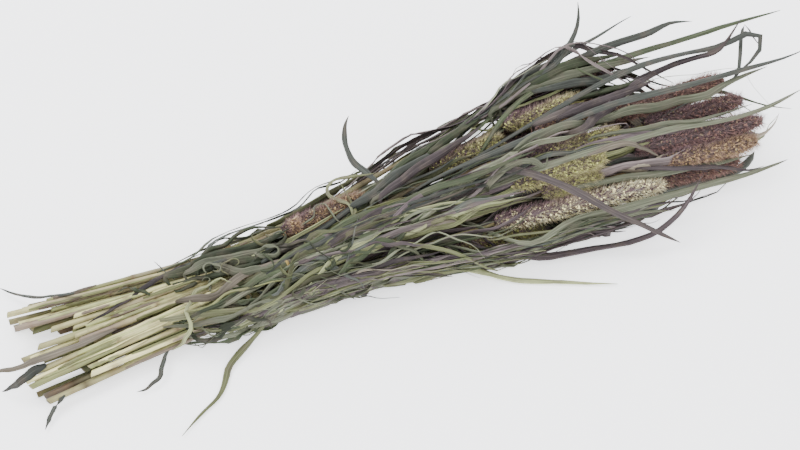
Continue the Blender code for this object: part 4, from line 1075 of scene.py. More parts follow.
# %% Blades drawn from the photograph
PHOTO_BLADES = (
    (0.0040, SLATE, 0.055, ((556, 68), (572, 61), (595, 51), (623, 41), (646, 34), (671, 23), (692, 21))),
    (0.0030, DARK_MAUVE, 0.070, ((622, 86), (648, 75), (671, 66), (696, 57), (715, 52), (727, 41),
        (738, 24), (741, 18))),
    (0.0018, SLATE, 0.060, ((716, 88), (736, 76), (740, 56), (741, 40), (745, 24), (753, 37), (761, 47))),
    (0.0026, GREY_GREEN, 0.040, ((590, 138), (614, 133), (643, 129), (671, 123), (696, 120), (721, 114),
        (752, 104))),
    (0.0042, GREY_GREEN, 0.050, ((590, 124), (608, 118), (633, 110), (662, 106), (681, 100), (704, 96),
        (727, 83), (767, 66))),
    (0.0034, GREY_GREEN, 0.030, ((574, 188), (595, 183), (625, 177), (652, 175), (681, 169), (719, 163),
        (753, 154))),
    (0.0028, TAUPE, 0.045, ((590, 154), (602, 150), (618, 144), (633, 144), (648, 150), (660, 157))),
    (0.0048, GREY_GREEN * 0.9, 0.06, ((489, 184), (507, 163), (526, 144), (543, 135), (560, 127),
        (587, 123), (612, 120))),
    (0.0034, GREY_GREEN, 0.06, ((498, 172), (509, 167), (524, 160), (535, 162), (545, 167), (547, 156))),
    (0.0048, DARK_MAUVE, 0.05, ((570, 133), (587, 127), (595, 116), (614, 104), (637, 83), (652, 75),
        (668, 70))),
    (0.0040, MAUVE_GREY * 0.8, 0.05, ((536, 124), (553, 116), (566, 112), (579, 106), (595, 102),
        (612, 88))),
    (0.0040, SLATE, 0.05, ((494, 98), (511, 85), (528, 72), (545, 66), (562, 52), (576, 43))),
    (0.0040, DARK_GREEN, 0.05, ((462, 132), (480, 116), (499, 97), (518, 83), (540, 72))),
    (0.0030, DARK_GREEN, 0.030, ((176, 292), (197, 282), (197, 262), (211, 249), (225, 246), (231, 238),
        (243, 231), (281, 226))),
    (0.0026, OLIVE * 1.2, 0.060, ((293, 261), (304, 255), (319, 246), (339, 235), (352, 225),
        (357, 215), (352, 205), (346, 193), (339, 180))),
    (0.0020, PALE_GREEN * 0.8, 0.06, ((352, 214), (349, 204), (339, 201), (329, 196), (327, 188),
        (334, 180), (350, 177), (376, 173))),
    (0.0016, GREY_GREEN, 0.06, ((300, 226), (314, 216), (313, 208), (321, 203), (327, 205), (332, 213),
        (336, 220), (349, 225))),
    (0.0036, TAUPE * 0.8, 0.05, ((176, 302), (190, 299), (218, 296), (231, 283), (246, 273), (263, 268),
        (283, 261), (293, 260), (306, 265), (314, 271))),
    (0.0030, STRAW_GREEN * 0.9, 0.04, ((186, 312), (210, 306), (226, 294), (249, 288), (276, 281),
        (298, 279))),
    (0.0026, AMBER, 0.05, ((286, 258), (288, 266), (290, 274), (291, 282))),
    (0.0026, GREY_GREEN, 0.05, ((310, 264), (314, 274), (316, 288), (307, 301))),
    (0.0050, MAUVE_GREY * 0.8, 0.05, ((280, 252), (293, 246), (317, 243), (342, 235), (380, 228),
        (402, 222))),
    (0.0034, PALE_GREEN * 0.8, 0.05, ((160, 320), (214, 313), (253, 309), (286, 296), (312, 289),
        (359, 278))),
    (0.0028, GREY_GREEN, 0.05, ((250, 332), (258, 324), (266, 312), (279, 303), (302, 286))),
    (0.0030, PALE_GREEN * 0.8, 0.05, ((320, 280), (336, 276), (367, 270), (392, 264), (420, 261))),
    (0.0018, MAUVE_GREY, 0.004, ((310, 300), (326, 293), (351, 294), (370, 294))),
    (0.0022, SLATE, 0.003, ((168, 352), (163, 362), (160, 376), (150, 386), (137, 392))),
    (0.0022, SLATE, 0.003, ((64, 396), (55, 407), (45, 430))),
    (0.0040, SLATE * 0.7, 0.003, ((46, 365), (40, 368), (30, 374), (18, 383), (2, 392))),
    (0.0020, DARK_GREEN, 0.030, ((150, 294), (139, 291), (127, 287), (117, 292))),
    (0.0006, SLATE, 0.050, ((174, 279), (163, 270), (153, 261))),
    (0.0050, DARK_GREEN, 0.045, ((165, 276), (188, 271), (212, 266), (238, 261), (270, 256))),
    (0.0046, DARK_GREEN * 0.8, 0.045, ((172, 285), (200, 278), (228, 272), (258, 262), (280, 250))),
    (0.0040, GREY_GREEN * 0.8, 0.045, ((207, 260), (222, 267), (240, 272), (262, 268), (290, 262))),
    (0.0050, SLATE, 0.045, ((262, 262), (282, 250), (310, 243), (345, 236), (372, 226))),
    (0.0045, DARK_MAUVE, 0.030, ((560, 118), (585, 108), (610, 98), (635, 88), (655, 80))),
    (0.0050, DARK_GREEN, 0.045, ((198, 270), (222, 257), (246, 247), (270, 238), (290, 229))),
    (0.0046, DARK_GREEN * 0.8, 0.045, ((192, 264), (215, 256), (238, 251), (262, 243), (284, 235))),
    (0.0044, SLATE, 0.045, ((212, 264), (240, 256), (262, 250), (285, 246), (310, 240))),
    (0.0038, GREY_GREEN * 0.8, 0.045, ((184, 274), (205, 263), (228, 258), (250, 253), (276, 243))),
    (0.0040, DARK_GREEN, 0.050, ((362, 198), (385, 181), (405, 163), (425, 149), (448, 136))),
    (0.0046, SLATE, 0.050, ((352, 206), (375, 192), (400, 172), (425, 158), (452, 145))),
    (0.0044, GREY_GREEN * 0.8, 0.050, ((372, 201), (395, 186), (420, 168), (442, 152), (474, 130))),
    (0.0042, DARK_MAUVE, 0.050, ((380, 196), (402, 180), (425, 163), (450, 148), (482, 126))),
    (0.0040, DARK_GREEN, 0.050, ((430, 152), (452, 136), (474, 118), (496, 102), (520, 88))),
    (0.0040, DARK_GREEN, 0.030, ((570, 100), (600, 92), (630, 84), (650, 72))),
    (0.0040, SLATE, 0.035, ((540, 90), (570, 84), (600, 79), (630, 70), (660, 60))),
    (0.0050, DARK_GREEN, 0.040, ((500, 100), (530, 82), (560, 68), (590, 60), (620, 55))),
    (0.0044, GREY_GREEN * 0.8, 0.045, ((490, 112), (520, 92), (552, 80), (580, 72), (615, 64), (650, 57))),
    (0.0014, PALE_GREEN * 0.7, 0.02, ((490, 240), (515, 236), (560, 230), (600, 222), (650, 206),
        (690, 190))),
    (0.0024, DARK_MAUVE, 0.02, ((640, 168), (680, 168), (720, 167), (750, 170), (764, 166))),
)
PHOTO_CURLS = (
    (268, 250, 8), (275, 238, 8), (259, 238, 7), (205, 283, 6), (232, 264, 7), (300, 290, 6), (330, 262, 5),
    (243, 300, 6), (288, 270, 6), (214, 268, 6), (346, 244, 5), (262, 260, 9),
)
CURL_COLOURS = (GREY_GREEN, DARK_GREEN, DARK_GREEN * 0.8, OLIVE)
print("blades and curls to draw:", len(PHOTO_BLADES), len(PHOTO_CURLS))

# %% From pixels to the surface of the bunch
SIGHT_HEIGHTS = np.arange(0.12, 0.002, -0.001)
ON_SKIN_LIFT = 0.0012
PHOTO_POINTS = 15
PHOTO_SAG, PHOTO_ROUNDS = 0.0008, 12


def on_skin(across, down):
    """The height at which the line of sight of a pixel first meets the bunch, or nan over the bare table."""
    spots = photo_spot(across, down, SIGHT_HEIGHTS)
    row, ray, depth = skin_place(spots)
    inside = (depth < skin[row, ray]) & (np.abs(spots[:, 0] - SKIN_STARTS[row]) < SKIN_STEP)
    return SIGHT_HEIGHTS[np.argmax(inside)] + ON_SKIN_LIFT if inside.any() else math.nan


def photo_route(pixels, tip_height):
    """Points of a blade over its pixels: on the skin, or on an even slope to its tip beyond the bunch."""
    shares = np.linspace(0.0, 1.0, PHOTO_POINTS)
    line = smooth_line(pixels, shares)
    heights = np.array([on_skin(*pixel) for pixel in line])
    if math.isnan(heights[-1]):
        heights[-1] = tip_height
    met = ~np.isnan(heights)
    heights = np.interp(shares, shares[met], heights[met])
    for _ in range(PHOTO_ROUNDS):
        heights[1:-1] = np.maximum(heights[1:-1], (heights[:-2] + heights[2:]) / 2 - PHOTO_SAG)
    return np.array([photo_spot(*pixel, height) for pixel, height in zip(line, heights)])


print("the first of them is met", round(on_skin(*PHOTO_BLADES[0][3][0]), 3), "m above the table")

# %% Draw the blades
PHOTO_SHADE = 0.45
BEND_LEAN, SHORTEST_SPAN = 0.008, 0.001


def lay_from_photo(route, half, tint):
    """Lays a blade on its route, its face towards the camera and away from where it bends."""
    stalk, root = root_of(route[0])
    route = np.concatenate((root[None], route))
    slopes = unit(np.gradient(route, axis=0))
    spans = np.linalg.norm(np.gradient(route, axis=0), axis=1, keepdims=True)
    bends = np.gradient(slopes, axis=0) / np.maximum(spans, SHORTEST_SPAN)
    facings = unit(np.array(view_back) - BEND_LEAN * bends)
    halves = blade_halves(half, len(route))
    blade = lay_blade(route, halves, facings, PHOTO_SHADE * tint, twist=0.25, wander=0.0007, flip=False)
    stalk["laid"].append(blade)
    cover_skin(blade["spots"], most_out)


for half, tint, tip_height, pixels in PHOTO_BLADES:
    lay_from_photo(photo_route(pixels, tip_height), half, tint)
print("blades drawn from the photograph:", len(PHOTO_BLADES))

# %% Draw the curls
CURL_TURNS = (3.5, 6.5)
CURL_REACHES, CURL_WOBBLE, CURL_SQUASH = (1.5, 0.7), 0.3, 0.8
CURL_RISE, CURL_HEIGHT_ELSEWHERE = 0.006, 0.03
CURL_HALVES = (0.0012, 0.0026)

for across, down, reach in PHOTO_CURLS:
    turns = rng.uniform(0, 6) + rng.choice((-1, 1)) * np.linspace(0.0, rng.uniform(*CURL_TURNS), PHOTO_POINTS)
    wobble = 1 + CURL_WOBBLE * np.cos(2 * turns + rng.uniform(0, 6))
    radii = reach * np.linspace(*CURL_REACHES, PHOTO_POINTS) * wobble
    base = np.nan_to_num(on_skin(across, down), nan=CURL_HEIGHT_ELSEWHERE)
    heights = base + np.linspace(0.0, CURL_RISE, PHOTO_POINTS)
    route = np.array([
        photo_spot(across + radius * math.cos(turn), down + CURL_SQUASH * radius * math.sin(turn), height)
        for turn, radius, height in zip(turns, radii, heights)
    ])
    lay_from_photo(route, rng.uniform(*CURL_HALVES), CURL_COLOURS[rng.integers(len(CURL_COLOURS))])
print("curls:", len(PHOTO_CURLS))

# %% [markdown]
# ## The seed heads
# A foxtail head is a spike crowded with small round grains, and stiff bristles stand out between them. It
# could be a bumpy texture on a cigar shape, but its outline would stay smooth. Here every grain is a small
# ball of twenty faces on a spiral that turns by the golden angle, as the real spikelets nearly do, and every
# bristle is a three-sided needle. A core, darkened as painted shade, closes the gaps between the grains.

# %% One grain, one bristle and one core
GRAIN_LENGTH, GRAIN_THICKNESS = 0.00098, 0.0008
BODY_SHARE = 0.97
GRAIN_SIZE = np.array((GRAIN_THICKNESS, GRAIN_THICKNESS, GRAIN_LENGTH))
GRAINS_TOGETHER = 5
CLUSTER_REACH = 0.0014
BRISTLE_RADIUS = 0.00018
BRISTLE_LENGTHS = (0.0040, 0.0088)
CORE_SIDES, CORE_RINGS = 12, 14

grain_data = bmesh.new()
bmesh.ops.create_icosphere(grain_data, subdivisions=1, radius=1.0)
GRAIN = shape_from(grain_data)
bristle_data = bmesh.new()
bmesh.ops.create_cone(bristle_data, cap_ends=True, segments=3, radius1=1.0, radius2=0.0, depth=1.0)
bmesh.ops.translate(bristle_data, vec=(0, 0, 0.5), verts=bristle_data.verts)
BRISTLE = shape_from(bristle_data)
core_data = bmesh.new()
bmesh.ops.create_uvsphere(core_data, u_segments=CORE_SIDES, v_segments=CORE_RINGS, radius=1.0)
CORE = shape_from(core_data)
print("faces: grain", len(GRAIN["sizes"]), "bristle", len(BRISTLE["sizes"]), "core", len(CORE["sizes"]))

# %% [markdown]
# ## Colours of the heads
# The heads ripened unevenly: some are still yellow-green, some cream, and those at the tip of the bunch are
# plum and russet. One material with a random hue would mix them up. So each head that shows has a colour
# for its shaded grains, one for its ripe ones and one for its bristles, in the order in which the model
# numbers the heads. Hidden heads take one of four spare sets.

# %% Head colours
YELLOW_GREEN, CREAM, TAN = colour(180, 182, 108), colour(224, 214, 164), colour(168, 140, 96)
RUSSET, PLUM, MAUVE = colour(108, 80, 71), colour(74, 54, 56), colour(114, 92, 95)
HEAD_LOOKS = {
    1: (PLUM, TAN * 0.8, PLUM * 1.5),
    2: (PLUM, YELLOW_GREEN * 0.8, MAUVE),
    3: (MAUVE, YELLOW_GREEN, MAUVE),
    4: (PLUM, RUSSET, PLUM),
    5: (RUSSET, TAN, MAUVE),
    6: (MAUVE * 0.8, YELLOW_GREEN * 0.85, MAUVE),
    7: (MAUVE * 0.7, YELLOW_GREEN * 1.1, MAUVE),
    8: (MAUVE * 0.7, YELLOW_GREEN * 0.8, MAUVE),
    9: (MAUVE, CREAM * 1.35, MAUVE * 1.3),
    10: (RUSSET, YELLOW_GREEN * 0.6, PLUM),
    11: (RUSSET * 0.8, RUSSET * 1.3, RUSSET),
    12: (PLUM, RUSSET, MAUVE),
    13: (PLUM, RUSSET * 1.1, MAUVE),
    14: (PLUM, TAN * 0.9, MAUVE),
    15: (PLUM, RUSSET, RUSSET),
}
SPARE_LOOKS = ((PLUM, TAN, MAUVE), (RUSSET, TAN, PLUM), (MAUVE, YELLOW_GREEN, MAUVE), (PLUM, RUSSET, MAUVE))
print("heads with colours of their own:", len(HEAD_LOOKS))

# %% [markdown]
# ## Growing a head
# On the plant the grains sit in clusters round the middle stalk, with gaps between them, and each tilts
# towards the tip. Scatter tools would place single grains evenly, which looks like sugar. Here every
# cluster has its own step on the spiral, its own height and its own small shift, and the grains are spread
# round it. The bristles are longer than the grains, so they stand out as a haze.

# %% The shape of a head
GOLDEN_ANGLE = math.pi * (3 - math.sqrt(5))
FOOT_SHARE, FOOT_SLOPE = 0.5, 3.5
TIP_END, TIP_SLOPE = 1.01, 6.0


def head_profile(along):
    """A head's thickness along it, as a share of its greatest radius."""
    rise = np.clip(FOOT_SHARE + FOOT_SLOPE * along, 0, 1)
    fall = np.clip((TIP_END - along) * TIP_SLOPE, 0, 1) ** 0.5
    return rise * fall


def place_copies(shape, middles, lengthwise, sideways, third, sizes):
    """Corners of a copy of the shape at each middle, with its own axes and sizes."""
    spots = shape["spots"][None]
    return (
        middles[:, None]
        + spots[..., 0:1] * sizes[:, None, 0:1] * sideways[:, None]
        + spots[..., 1:2] * sizes[:, None, 1:2] * third[:, None]
        + spots[..., 2:3] * sizes[:, None, 2:3] * lengthwise[:, None]
    )


print("thickness at the foot, middle and tip:", head_profile(np.array([0.0, 0.5, 1.0])).round(2))

# %% The core of a head
# The core takes the grains' darker colour at under half: painted shade in the gaps between them.
CORE_SHARE, CORE_ROUNDING, CORE_PAINTED_SHADE = 0.84, 8, 0.45
NO_PLACE = np.zeros((1, 1, 2))


def head_core(head, base):
    """The core that closes the gaps between the grains, darkened as painted shade."""
    radius = BODY_SHARE * head["radius"]
    along = np.clip((CORE["spots"][:, 2] + 1) / 2, 0, 1)
    middle, _, side, up = side_and_up(head["line"], along)
    angle = np.arctan2(CORE["spots"][:, 1], CORE["spots"][:, 0])
    round_share = np.hypot(CORE["spots"][:, 0], CORE["spots"][:, 1])
    reach = np.minimum(CORE_SHARE * radius * head_profile(along), CORE_ROUNDING * radius * round_share)
    spots = middle + (np.cos(angle) * reach)[:, None] * side + (np.sin(angle) * reach)[:, None] * up
    return copies(CORE, spots[None], (CORE_PAINTED_SHADE * base)[None, None], NO_PLACE)


print("corners in a core:", len(CORE["spots"]))

# %% The grains of a head
CLUSTER_SPIN, CLUSTER_SHIFT = 0.12, 0.012
LUMPS = (0.88, 1.0)
GRAIN_LEAN, GRAIN_TILT, GRAIN_SIZES = 0.6, 0.35, (0.75, 1.2)
RIPE_ALONG, RIPE_START, RIPE_SIDE, RIPE_SPREAD = 1.7, 0.1, 0.7, 0.45
DIMMEST_GRAIN, GRAIN_BRIGHTENING, GRAIN_CONTRAST = 0.2, 1.4, 1.6
# Share of grains that get a painted highlight.
PAINTED_HIGHLIGHT_CHANCE = 0.14


def by_cluster(values):
    """One value of a cluster for each of its grains."""
    return np.repeat(values, GRAINS_TOGETHER)


def head_grains(head, grains, base, ripe):
    """Clusters of grains on a spiral round the head."""
    radius = BODY_SHARE * head["radius"]
    length = head["high"] - head["low"]
    clusters = grains // GRAINS_TOGETHER
    grains = clusters * GRAINS_TOGETHER
    count = by_cluster(np.arange(clusters))
    spin = count * GOLDEN_ANGLE + rng.normal(0, CLUSTER_REACH / radius, grains)
    spin = spin + by_cluster(rng.normal(0, CLUSTER_SPIN, clusters))
    along = (count + 0.5) / clusters + rng.normal(0, CLUSTER_REACH / length, grains)
    along = np.clip(along + by_cluster(rng.normal(0, CLUSTER_SHIFT, clusters)), 0.0, 1.0)
    middle, forward, side, up = side_and_up(head["line"], along)
    outward = np.cos(spin)[:, None] * side + np.sin(spin)[:, None] * up
    lumps = by_cluster(rng.uniform(*LUMPS, clusters))
    reach = radius * head_profile(along) * lumps * rng.uniform(*LUMPS, grains)
    aim = unit(outward + GRAIN_LEAN * forward + rng.normal(0, GRAIN_TILT, (grains, 3)))
    cross_way = unit(np.cross(aim, forward + 0.01))
    sizes = rng.uniform(*GRAIN_SIZES, (grains, 1)) * GRAIN_SIZE
    middle = middle + reach[:, None] * outward
    spots = place_copies(GRAIN, middle, aim, cross_way, np.cross(aim, cross_way), sizes)
    ripeness = RIPE_ALONG * along - RIPE_START - RIPE_SIDE * outward[:, 1]
    ripeness = np.clip(ripeness + rng.normal(0, RIPE_SPREAD, grains), 0, 1)[:, None]
    brightness = DIMMEST_GRAIN + GRAIN_BRIGHTENING * rng.uniform(size=(grains, 1)) ** GRAIN_CONTRAST
    tints = (base * (1 - ripeness) + ripe * ripeness) * brightness
    # A few grains are mixed halfway towards pale cream as painted highlights on the head.
    painted_highlight = rng.uniform(size=(grains, 1)) < PAINTED_HIGHLIGHT_CHANCE
    tints = np.where(painted_highlight, 0.5 * tints + 0.5 * (0.5 * ripe + 0.4 * CREAM), tints)
    return copies(GRAIN, spots, tints[:, None], NO_PLACE)


print("grains in a cluster:", GRAINS_TOGETHER, "of", 1000 * GRAIN_LENGTH, "mm")

# %% The bristles of a head
BRISTLE_CROWDING, BRISTLE_ROOT = 0.9, 0.8
BRISTLE_LEANS, BRISTLE_TILT = (0.3, 1.0), 0.25
BRISTLE_RIPE, BRISTLE_RIPE_SIDE = 0.45, 0.9
BRISTLE_BRIGHTNESS, BRIGHTEST_BRISTLE = (0.6, 2.1), 0.8
LOWEST_BRISTLE = 0.0002


def head_bristles(head, bristles, ripe, hair):
    """Stiff bristles that stand out between the grains."""
    radius = BODY_SHARE * head["radius"]
    along = rng.uniform(0.0, 1.0, bristles) ** BRISTLE_CROWDING
    spin = rng.uniform(0, 2 * math.pi, bristles)
    middle, forward, side, up = side_and_up(head["line"], along)
    outward = np.cos(spin)[:, None] * side + np.sin(spin)[:, None] * up
    lean = rng.uniform(*BRISTLE_LEANS, (bristles, 1))
    aim = unit(outward + lean * forward + rng.normal(0, BRISTLE_TILT, (bristles, 3)))
    cross_way = unit(np.cross(aim, forward + 0.01))
    reach = radius * head_profile(along) * BRISTLE_ROOT
    thickness = np.full(bristles, BRISTLE_RADIUS)
    sizes = np.column_stack((thickness, thickness, rng.uniform(*BRISTLE_LENGTHS, bristles)))
    middle = middle + reach[:, None] * outward
    spots = place_copies(BRISTLE, middle, aim, cross_way, np.cross(aim, cross_way), sizes)
    spots[..., 2] = np.maximum(spots[..., 2], LOWEST_BRISTLE)
    ripeness = np.clip(RIPE_ALONG * along - RIPE_START - BRISTLE_RIPE_SIDE * outward[:, 1], 0, 1)
    ripeness = BRISTLE_RIPE * ripeness[:, None]
    tints = (hair * (1 - ripeness) + ripe * ripeness) * rng.uniform(*BRISTLE_BRIGHTNESS, (bristles, 1))
    return copies(BRISTLE, spots, np.minimum(tints, BRIGHTEST_BRISTLE)[:, None], NO_PLACE)


def grow_head(index, head, grains, bristles):
    """The core, grains and bristles of one seed head, as groups of copies."""
    base, ripe, hair = HEAD_LOOKS.get(index, SPARE_LOOKS[index % len(SPARE_LOOKS)])
    core = head_core(head, base)
    seeds = head_grains(head, grains, base, ripe)
    return [core, seeds, head_bristles(head, bristles, ripe, hair)]


print("bristles are", BRISTLE_LENGTHS, "m long")

# %% [markdown]
# ## The loose spikelet
# One small spikelet has come off and stands in the tangle of leaves, where it catches the eye. It is made
# by the same function as a head, on a line of its own that three pixels give, and it is joined to the
# first head's piece. A piece of its own would be one more thing for the model to carry. Its colours are
# filed under number sixteen, so the sixteenth head, which is hidden, shares them.

# %% The loose spikelet
SPIKELET_PIXELS = ((298, 233), (296, 227), (294, 219))
SPIKELET_RADIUS = 0.0034
SPIKELET_LOOK = 16
SPIKELET_RISES = (-0.004, 0.001, 0.006)
SPIKELET_GRAINS, SPIKELET_BRISTLES = 120, 300
HEAD_LOOKS[SPIKELET_LOOK] = (RUSSET, TAN, MAUVE * 1.2)
foot = on_skin(*SPIKELET_PIXELS[0])
spikelet_line = np.array([
    photo_spot(*pixel, foot + rise) for pixel, rise in zip(SPIKELET_PIXELS, SPIKELET_RISES)
])
spikelet = {
    "line": spikelet_line, "radius": SPIKELET_RADIUS,
    "low": 0.0, "high": np.linalg.norm(spikelet_line[-1] - spikelet_line[0]),
}
SPIKELET_GROUPS = grow_head(SPIKELET_LOOK, spikelet, SPIKELET_GRAINS, SPIKELET_BRISTLES)
print("spikelet stands at", spikelet_line[0].round(3))

# %% [markdown]
# ## Materials
# Every finish starts from the colour that its piece carries for each corner. Two effects are used by more
# than one finish, so they are node groups: streaks that run along a blade or straw, and blotches that
# darken and warm it. The shader itself stays in each material.

# %% Nodes and groups


def new_group(name, inputs, outputs):
    """A new node group, with its input and output nodes."""
    group = bpy.data.node_groups.new(name, "ShaderNodeTree")
    for label, kind, value in inputs:
        socket = group.interface.new_socket(name=label, in_out="INPUT", socket_type=kind)
        if value is not None:
            socket.default_value = value
    for label, kind in outputs:
        group.interface.new_socket(name=label, in_out="OUTPUT", socket_type=kind)
    return group, group.nodes.new("NodeGroupInput"), group.nodes.new("NodeGroupOutput")


def add_node(tree, kind, links=(), **values):
    """A node with its settings made, and (socket, source socket) links into it."""
    node = tree.nodes.new(kind)
    for key, value in values.items():
        setattr(node, key, value)
    for socket, source in links:
        if isinstance(source, bpy.types.NodeSocket):
            tree.links.new(source, node.inputs[socket])
        else:
            node.inputs[socket].default_value = source
    return node


def multiplied(tree, first, second):
    """The output of a Math node that multiplies two sockets."""
    return add_node(tree, "ShaderNodeMath", ((0, first), (1, second)), operation="MULTIPLY").outputs[0]


def mapped(tree, value, low, high, to_low, to_high):
    """The output of a Map Range node, which turns the span from low to high into another one."""
    spans = ((0, value), (1, low), (2, high), (3, to_low), (4, to_high))
    return add_node(tree, "ShaderNodeMapRange", spans).outputs[0]


print("groups before:", len(bpy.data.node_groups))

# %% Streaks along the fibre
STREAK_DETAIL, STREAK_LOW, STREAK_HIGH = 3.0, 0.3, 0.7
streak_inputs = (
    ("Place", "NodeSocketVector", None),
    ("Per metre along", "NodeSocketFloat", 60.0),
    ("Per metre across", "NodeSocketFloat", 2200.0),
)
streak_group, streak_in, streak_out = new_group(
    "streaks along the fibre", streak_inputs, (("Streak", "NodeSocketFloat"),)
)
split = add_node(streak_group, "ShaderNodeSeparateXYZ", ((0, streak_in.outputs["Place"]),))
far = multiplied(streak_group, split.outputs[0], streak_in.outputs["Per metre along"])
wide = multiplied(streak_group, split.outputs[1], streak_in.outputs["Per metre across"])
joined = add_node(streak_group, "ShaderNodeCombineXYZ", ((0, far), (1, wide)))
fibre_links = (("Vector", joined.outputs[0]), ("Scale", 1.0), ("Detail", STREAK_DETAIL))
fibres = add_node(streak_group, "ShaderNodeTexNoise", fibre_links)
sharper = mapped(streak_group, fibres.outputs[0], STREAK_LOW, STREAK_HIGH, 0.0, 1.0)
streak_group.links.new(sharper, streak_out.inputs[0])
print("group:", streak_group.name)

# %% Blotches
BLOTCH_DETAIL, BLOTCH_LOW, BLOTCH_HIGH = 5.0, 0.48, 0.72
blotch_inputs = (
    ("Colour", "NodeSocketColor", None),
    ("Blotch", "NodeSocketColor", None),
    ("Scale", "NodeSocketFloat", 70.0),
    ("Amount", "NodeSocketFloat", 0.5),
)
blotch_group, blotch_in, blotch_out = new_group("blotches", blotch_inputs, (("Colour", "NodeSocketColor"),))
spot_at = add_node(blotch_group, "ShaderNodeTexCoord")
cloud_links = (
    ("Vector", spot_at.outputs["Object"]), ("Scale", blotch_in.outputs["Scale"]), ("Detail", BLOTCH_DETAIL),
)
cloud = add_node(blotch_group, "ShaderNodeTexNoise", cloud_links)
share = mapped(blotch_group, cloud.outputs[0], BLOTCH_LOW, BLOTCH_HIGH, 0.0, blotch_in.outputs["Amount"])
mix_links = ((0, share), (6, blotch_in.outputs["Colour"]), (7, blotch_in.outputs["Blotch"]))
mixed = add_node(blotch_group, "ShaderNodeMix", mix_links, data_type="RGBA")
blotch_group.links.new(mixed.outputs[2], blotch_out.inputs[0])
print("groups:", [group.name for group in bpy.data.node_groups])

# %% [markdown]
# ## The finishes
# Dry leaf, straw and raffia are all plant fibre: matt, streaked lengthwise and stained in places. A leaf's
# rib shows as a paler line, partly its own colour and partly a painted highlight. One function makes the
# three, with other numbers for each, so that they stay alike in kind. Grains and bristles are harder and a
# little glossy, so they have a finish of their own.

# %% Fibre
RIB_EDGE, RIB_FADE = 0.0002, 0.0007
ROUGHNESS_CHANGE = 0.1
FIBRE_BUMP, FIBRE_DEPTH = 0.5, 0.0003
FIBRE_GLOSS = 0.18


def fibre_finish(name, blotch, amount, light, rough, along=60.0, across=2200.0, rib=0.0):
    """Dry plant fibre: the piece's own colour, streaked, blotched and lightly relieved."""
    material = bpy.data.materials.new(name)
    material.use_nodes = True
    tree = material.node_tree
    shader = tree.nodes["Principled BSDF"]
    tint = add_node(tree, "ShaderNodeAttribute", attribute_name=EACH_COLOUR)
    place = add_node(tree, "ShaderNodeUVMap", uv_map=PLACE_ON_SHAPE)
    streaks = add_node(tree, "ShaderNodeGroup", node_tree=streak_group)
    tree.links.new(place.outputs[0], streaks.inputs["Place"])
    streaks.inputs["Per metre along"].default_value = along
    streaks.inputs["Per metre across"].default_value = across
    blotches = add_node(tree, "ShaderNodeGroup", node_tree=blotch_group)
    tree.links.new(tint.outputs["Color"], blotches.inputs["Colour"])
    blotches.inputs["Blotch"].default_value = (*blotch, 1.0)
    blotches.inputs["Amount"].default_value = amount
    paler = mapped(tree, streaks.outputs[0], 0.0, 1.0, 1 - light, 1 + light)
    beside = add_node(tree, "ShaderNodeSeparateXYZ", ((0, place.outputs[0]),))
    from_rib = add_node(tree, "ShaderNodeMath", ((0, beside.outputs[1]),), operation="ABSOLUTE")
    # Along the rib the colour is raised: partly the rib's own paler colour, partly a painted highlight.
    rib_pale_and_highlight = mapped(tree, from_rib.outputs[0], RIB_EDGE, RIB_FADE, 1 + rib, 1.0)
    strength = multiplied(tree, paler, rib_pale_and_highlight)
    lit = add_node(tree, "ShaderNodeVectorMath", ((0, blotches.outputs[0]),), operation="SCALE")
    tree.links.new(strength, lit.inputs["Scale"])
    tree.links.new(lit.outputs[0], shader.inputs["Base Color"])
    low, high = rough - ROUGHNESS_CHANGE, rough + ROUGHNESS_CHANGE
    roughness = mapped(tree, streaks.outputs[0], 0.0, 1.0, low, high)
    tree.links.new(roughness, shader.inputs["Roughness"])
    bump_links = (("Height", streaks.outputs[0]), ("Strength", FIBRE_BUMP), ("Distance", FIBRE_DEPTH))
    bump = add_node(tree, "ShaderNodeBump", bump_links)
    tree.links.new(bump.outputs[0], shader.inputs["Normal"])
    shader.inputs["Specular IOR Level"].default_value = FIBRE_GLOSS
    return material


LEAF = fibre_finish(
    "dry millet blade", blotch=colour(82, 73, 64), amount=0.45, light=0.5, rough=0.6,
    along=40.0, across=1500.0, rib=0.4,
)
STRAW_SKIN = fibre_finish(
    "straw", blotch=colour(104, 82, 58), amount=0.6, light=0.3, rough=0.5, along=14.0, across=2400.0
)
print("fibre finishes:", LEAF.name, "and", STRAW_SKIN.name)

# %% Grain and bristle
GRAIN_MOTTLE, GRAIN_STAIN = 160.0, 0.45
GRAIN_ROUGHNESS, GRAIN_GLOSS = 0.55, 0.4


def grain_finish():
    """Grains and bristles: the colour of each, faintly mottled, with a soft seed gloss."""
    material = bpy.data.materials.new("millet grain and bristle")
    material.use_nodes = True
    tree = material.node_tree
    shader = tree.nodes["Principled BSDF"]
    tint = add_node(tree, "ShaderNodeAttribute", attribute_name=EACH_COLOUR)
    blotches = add_node(tree, "ShaderNodeGroup", node_tree=blotch_group)
    tree.links.new(tint.outputs["Color"], blotches.inputs["Colour"])
    blotches.inputs["Blotch"].default_value = (*PLUM, 1.0)
    blotches.inputs["Scale"].default_value = GRAIN_MOTTLE
    blotches.inputs["Amount"].default_value = GRAIN_STAIN
    tree.links.new(blotches.outputs[0], shader.inputs["Base Color"])
    shader.inputs["Roughness"].default_value = GRAIN_ROUGHNESS
    shader.inputs["Specular IOR Level"].default_value = GRAIN_GLOSS
    return material


SEED = grain_finish()
print("finishes:", [material.name for material in bpy.data.materials])
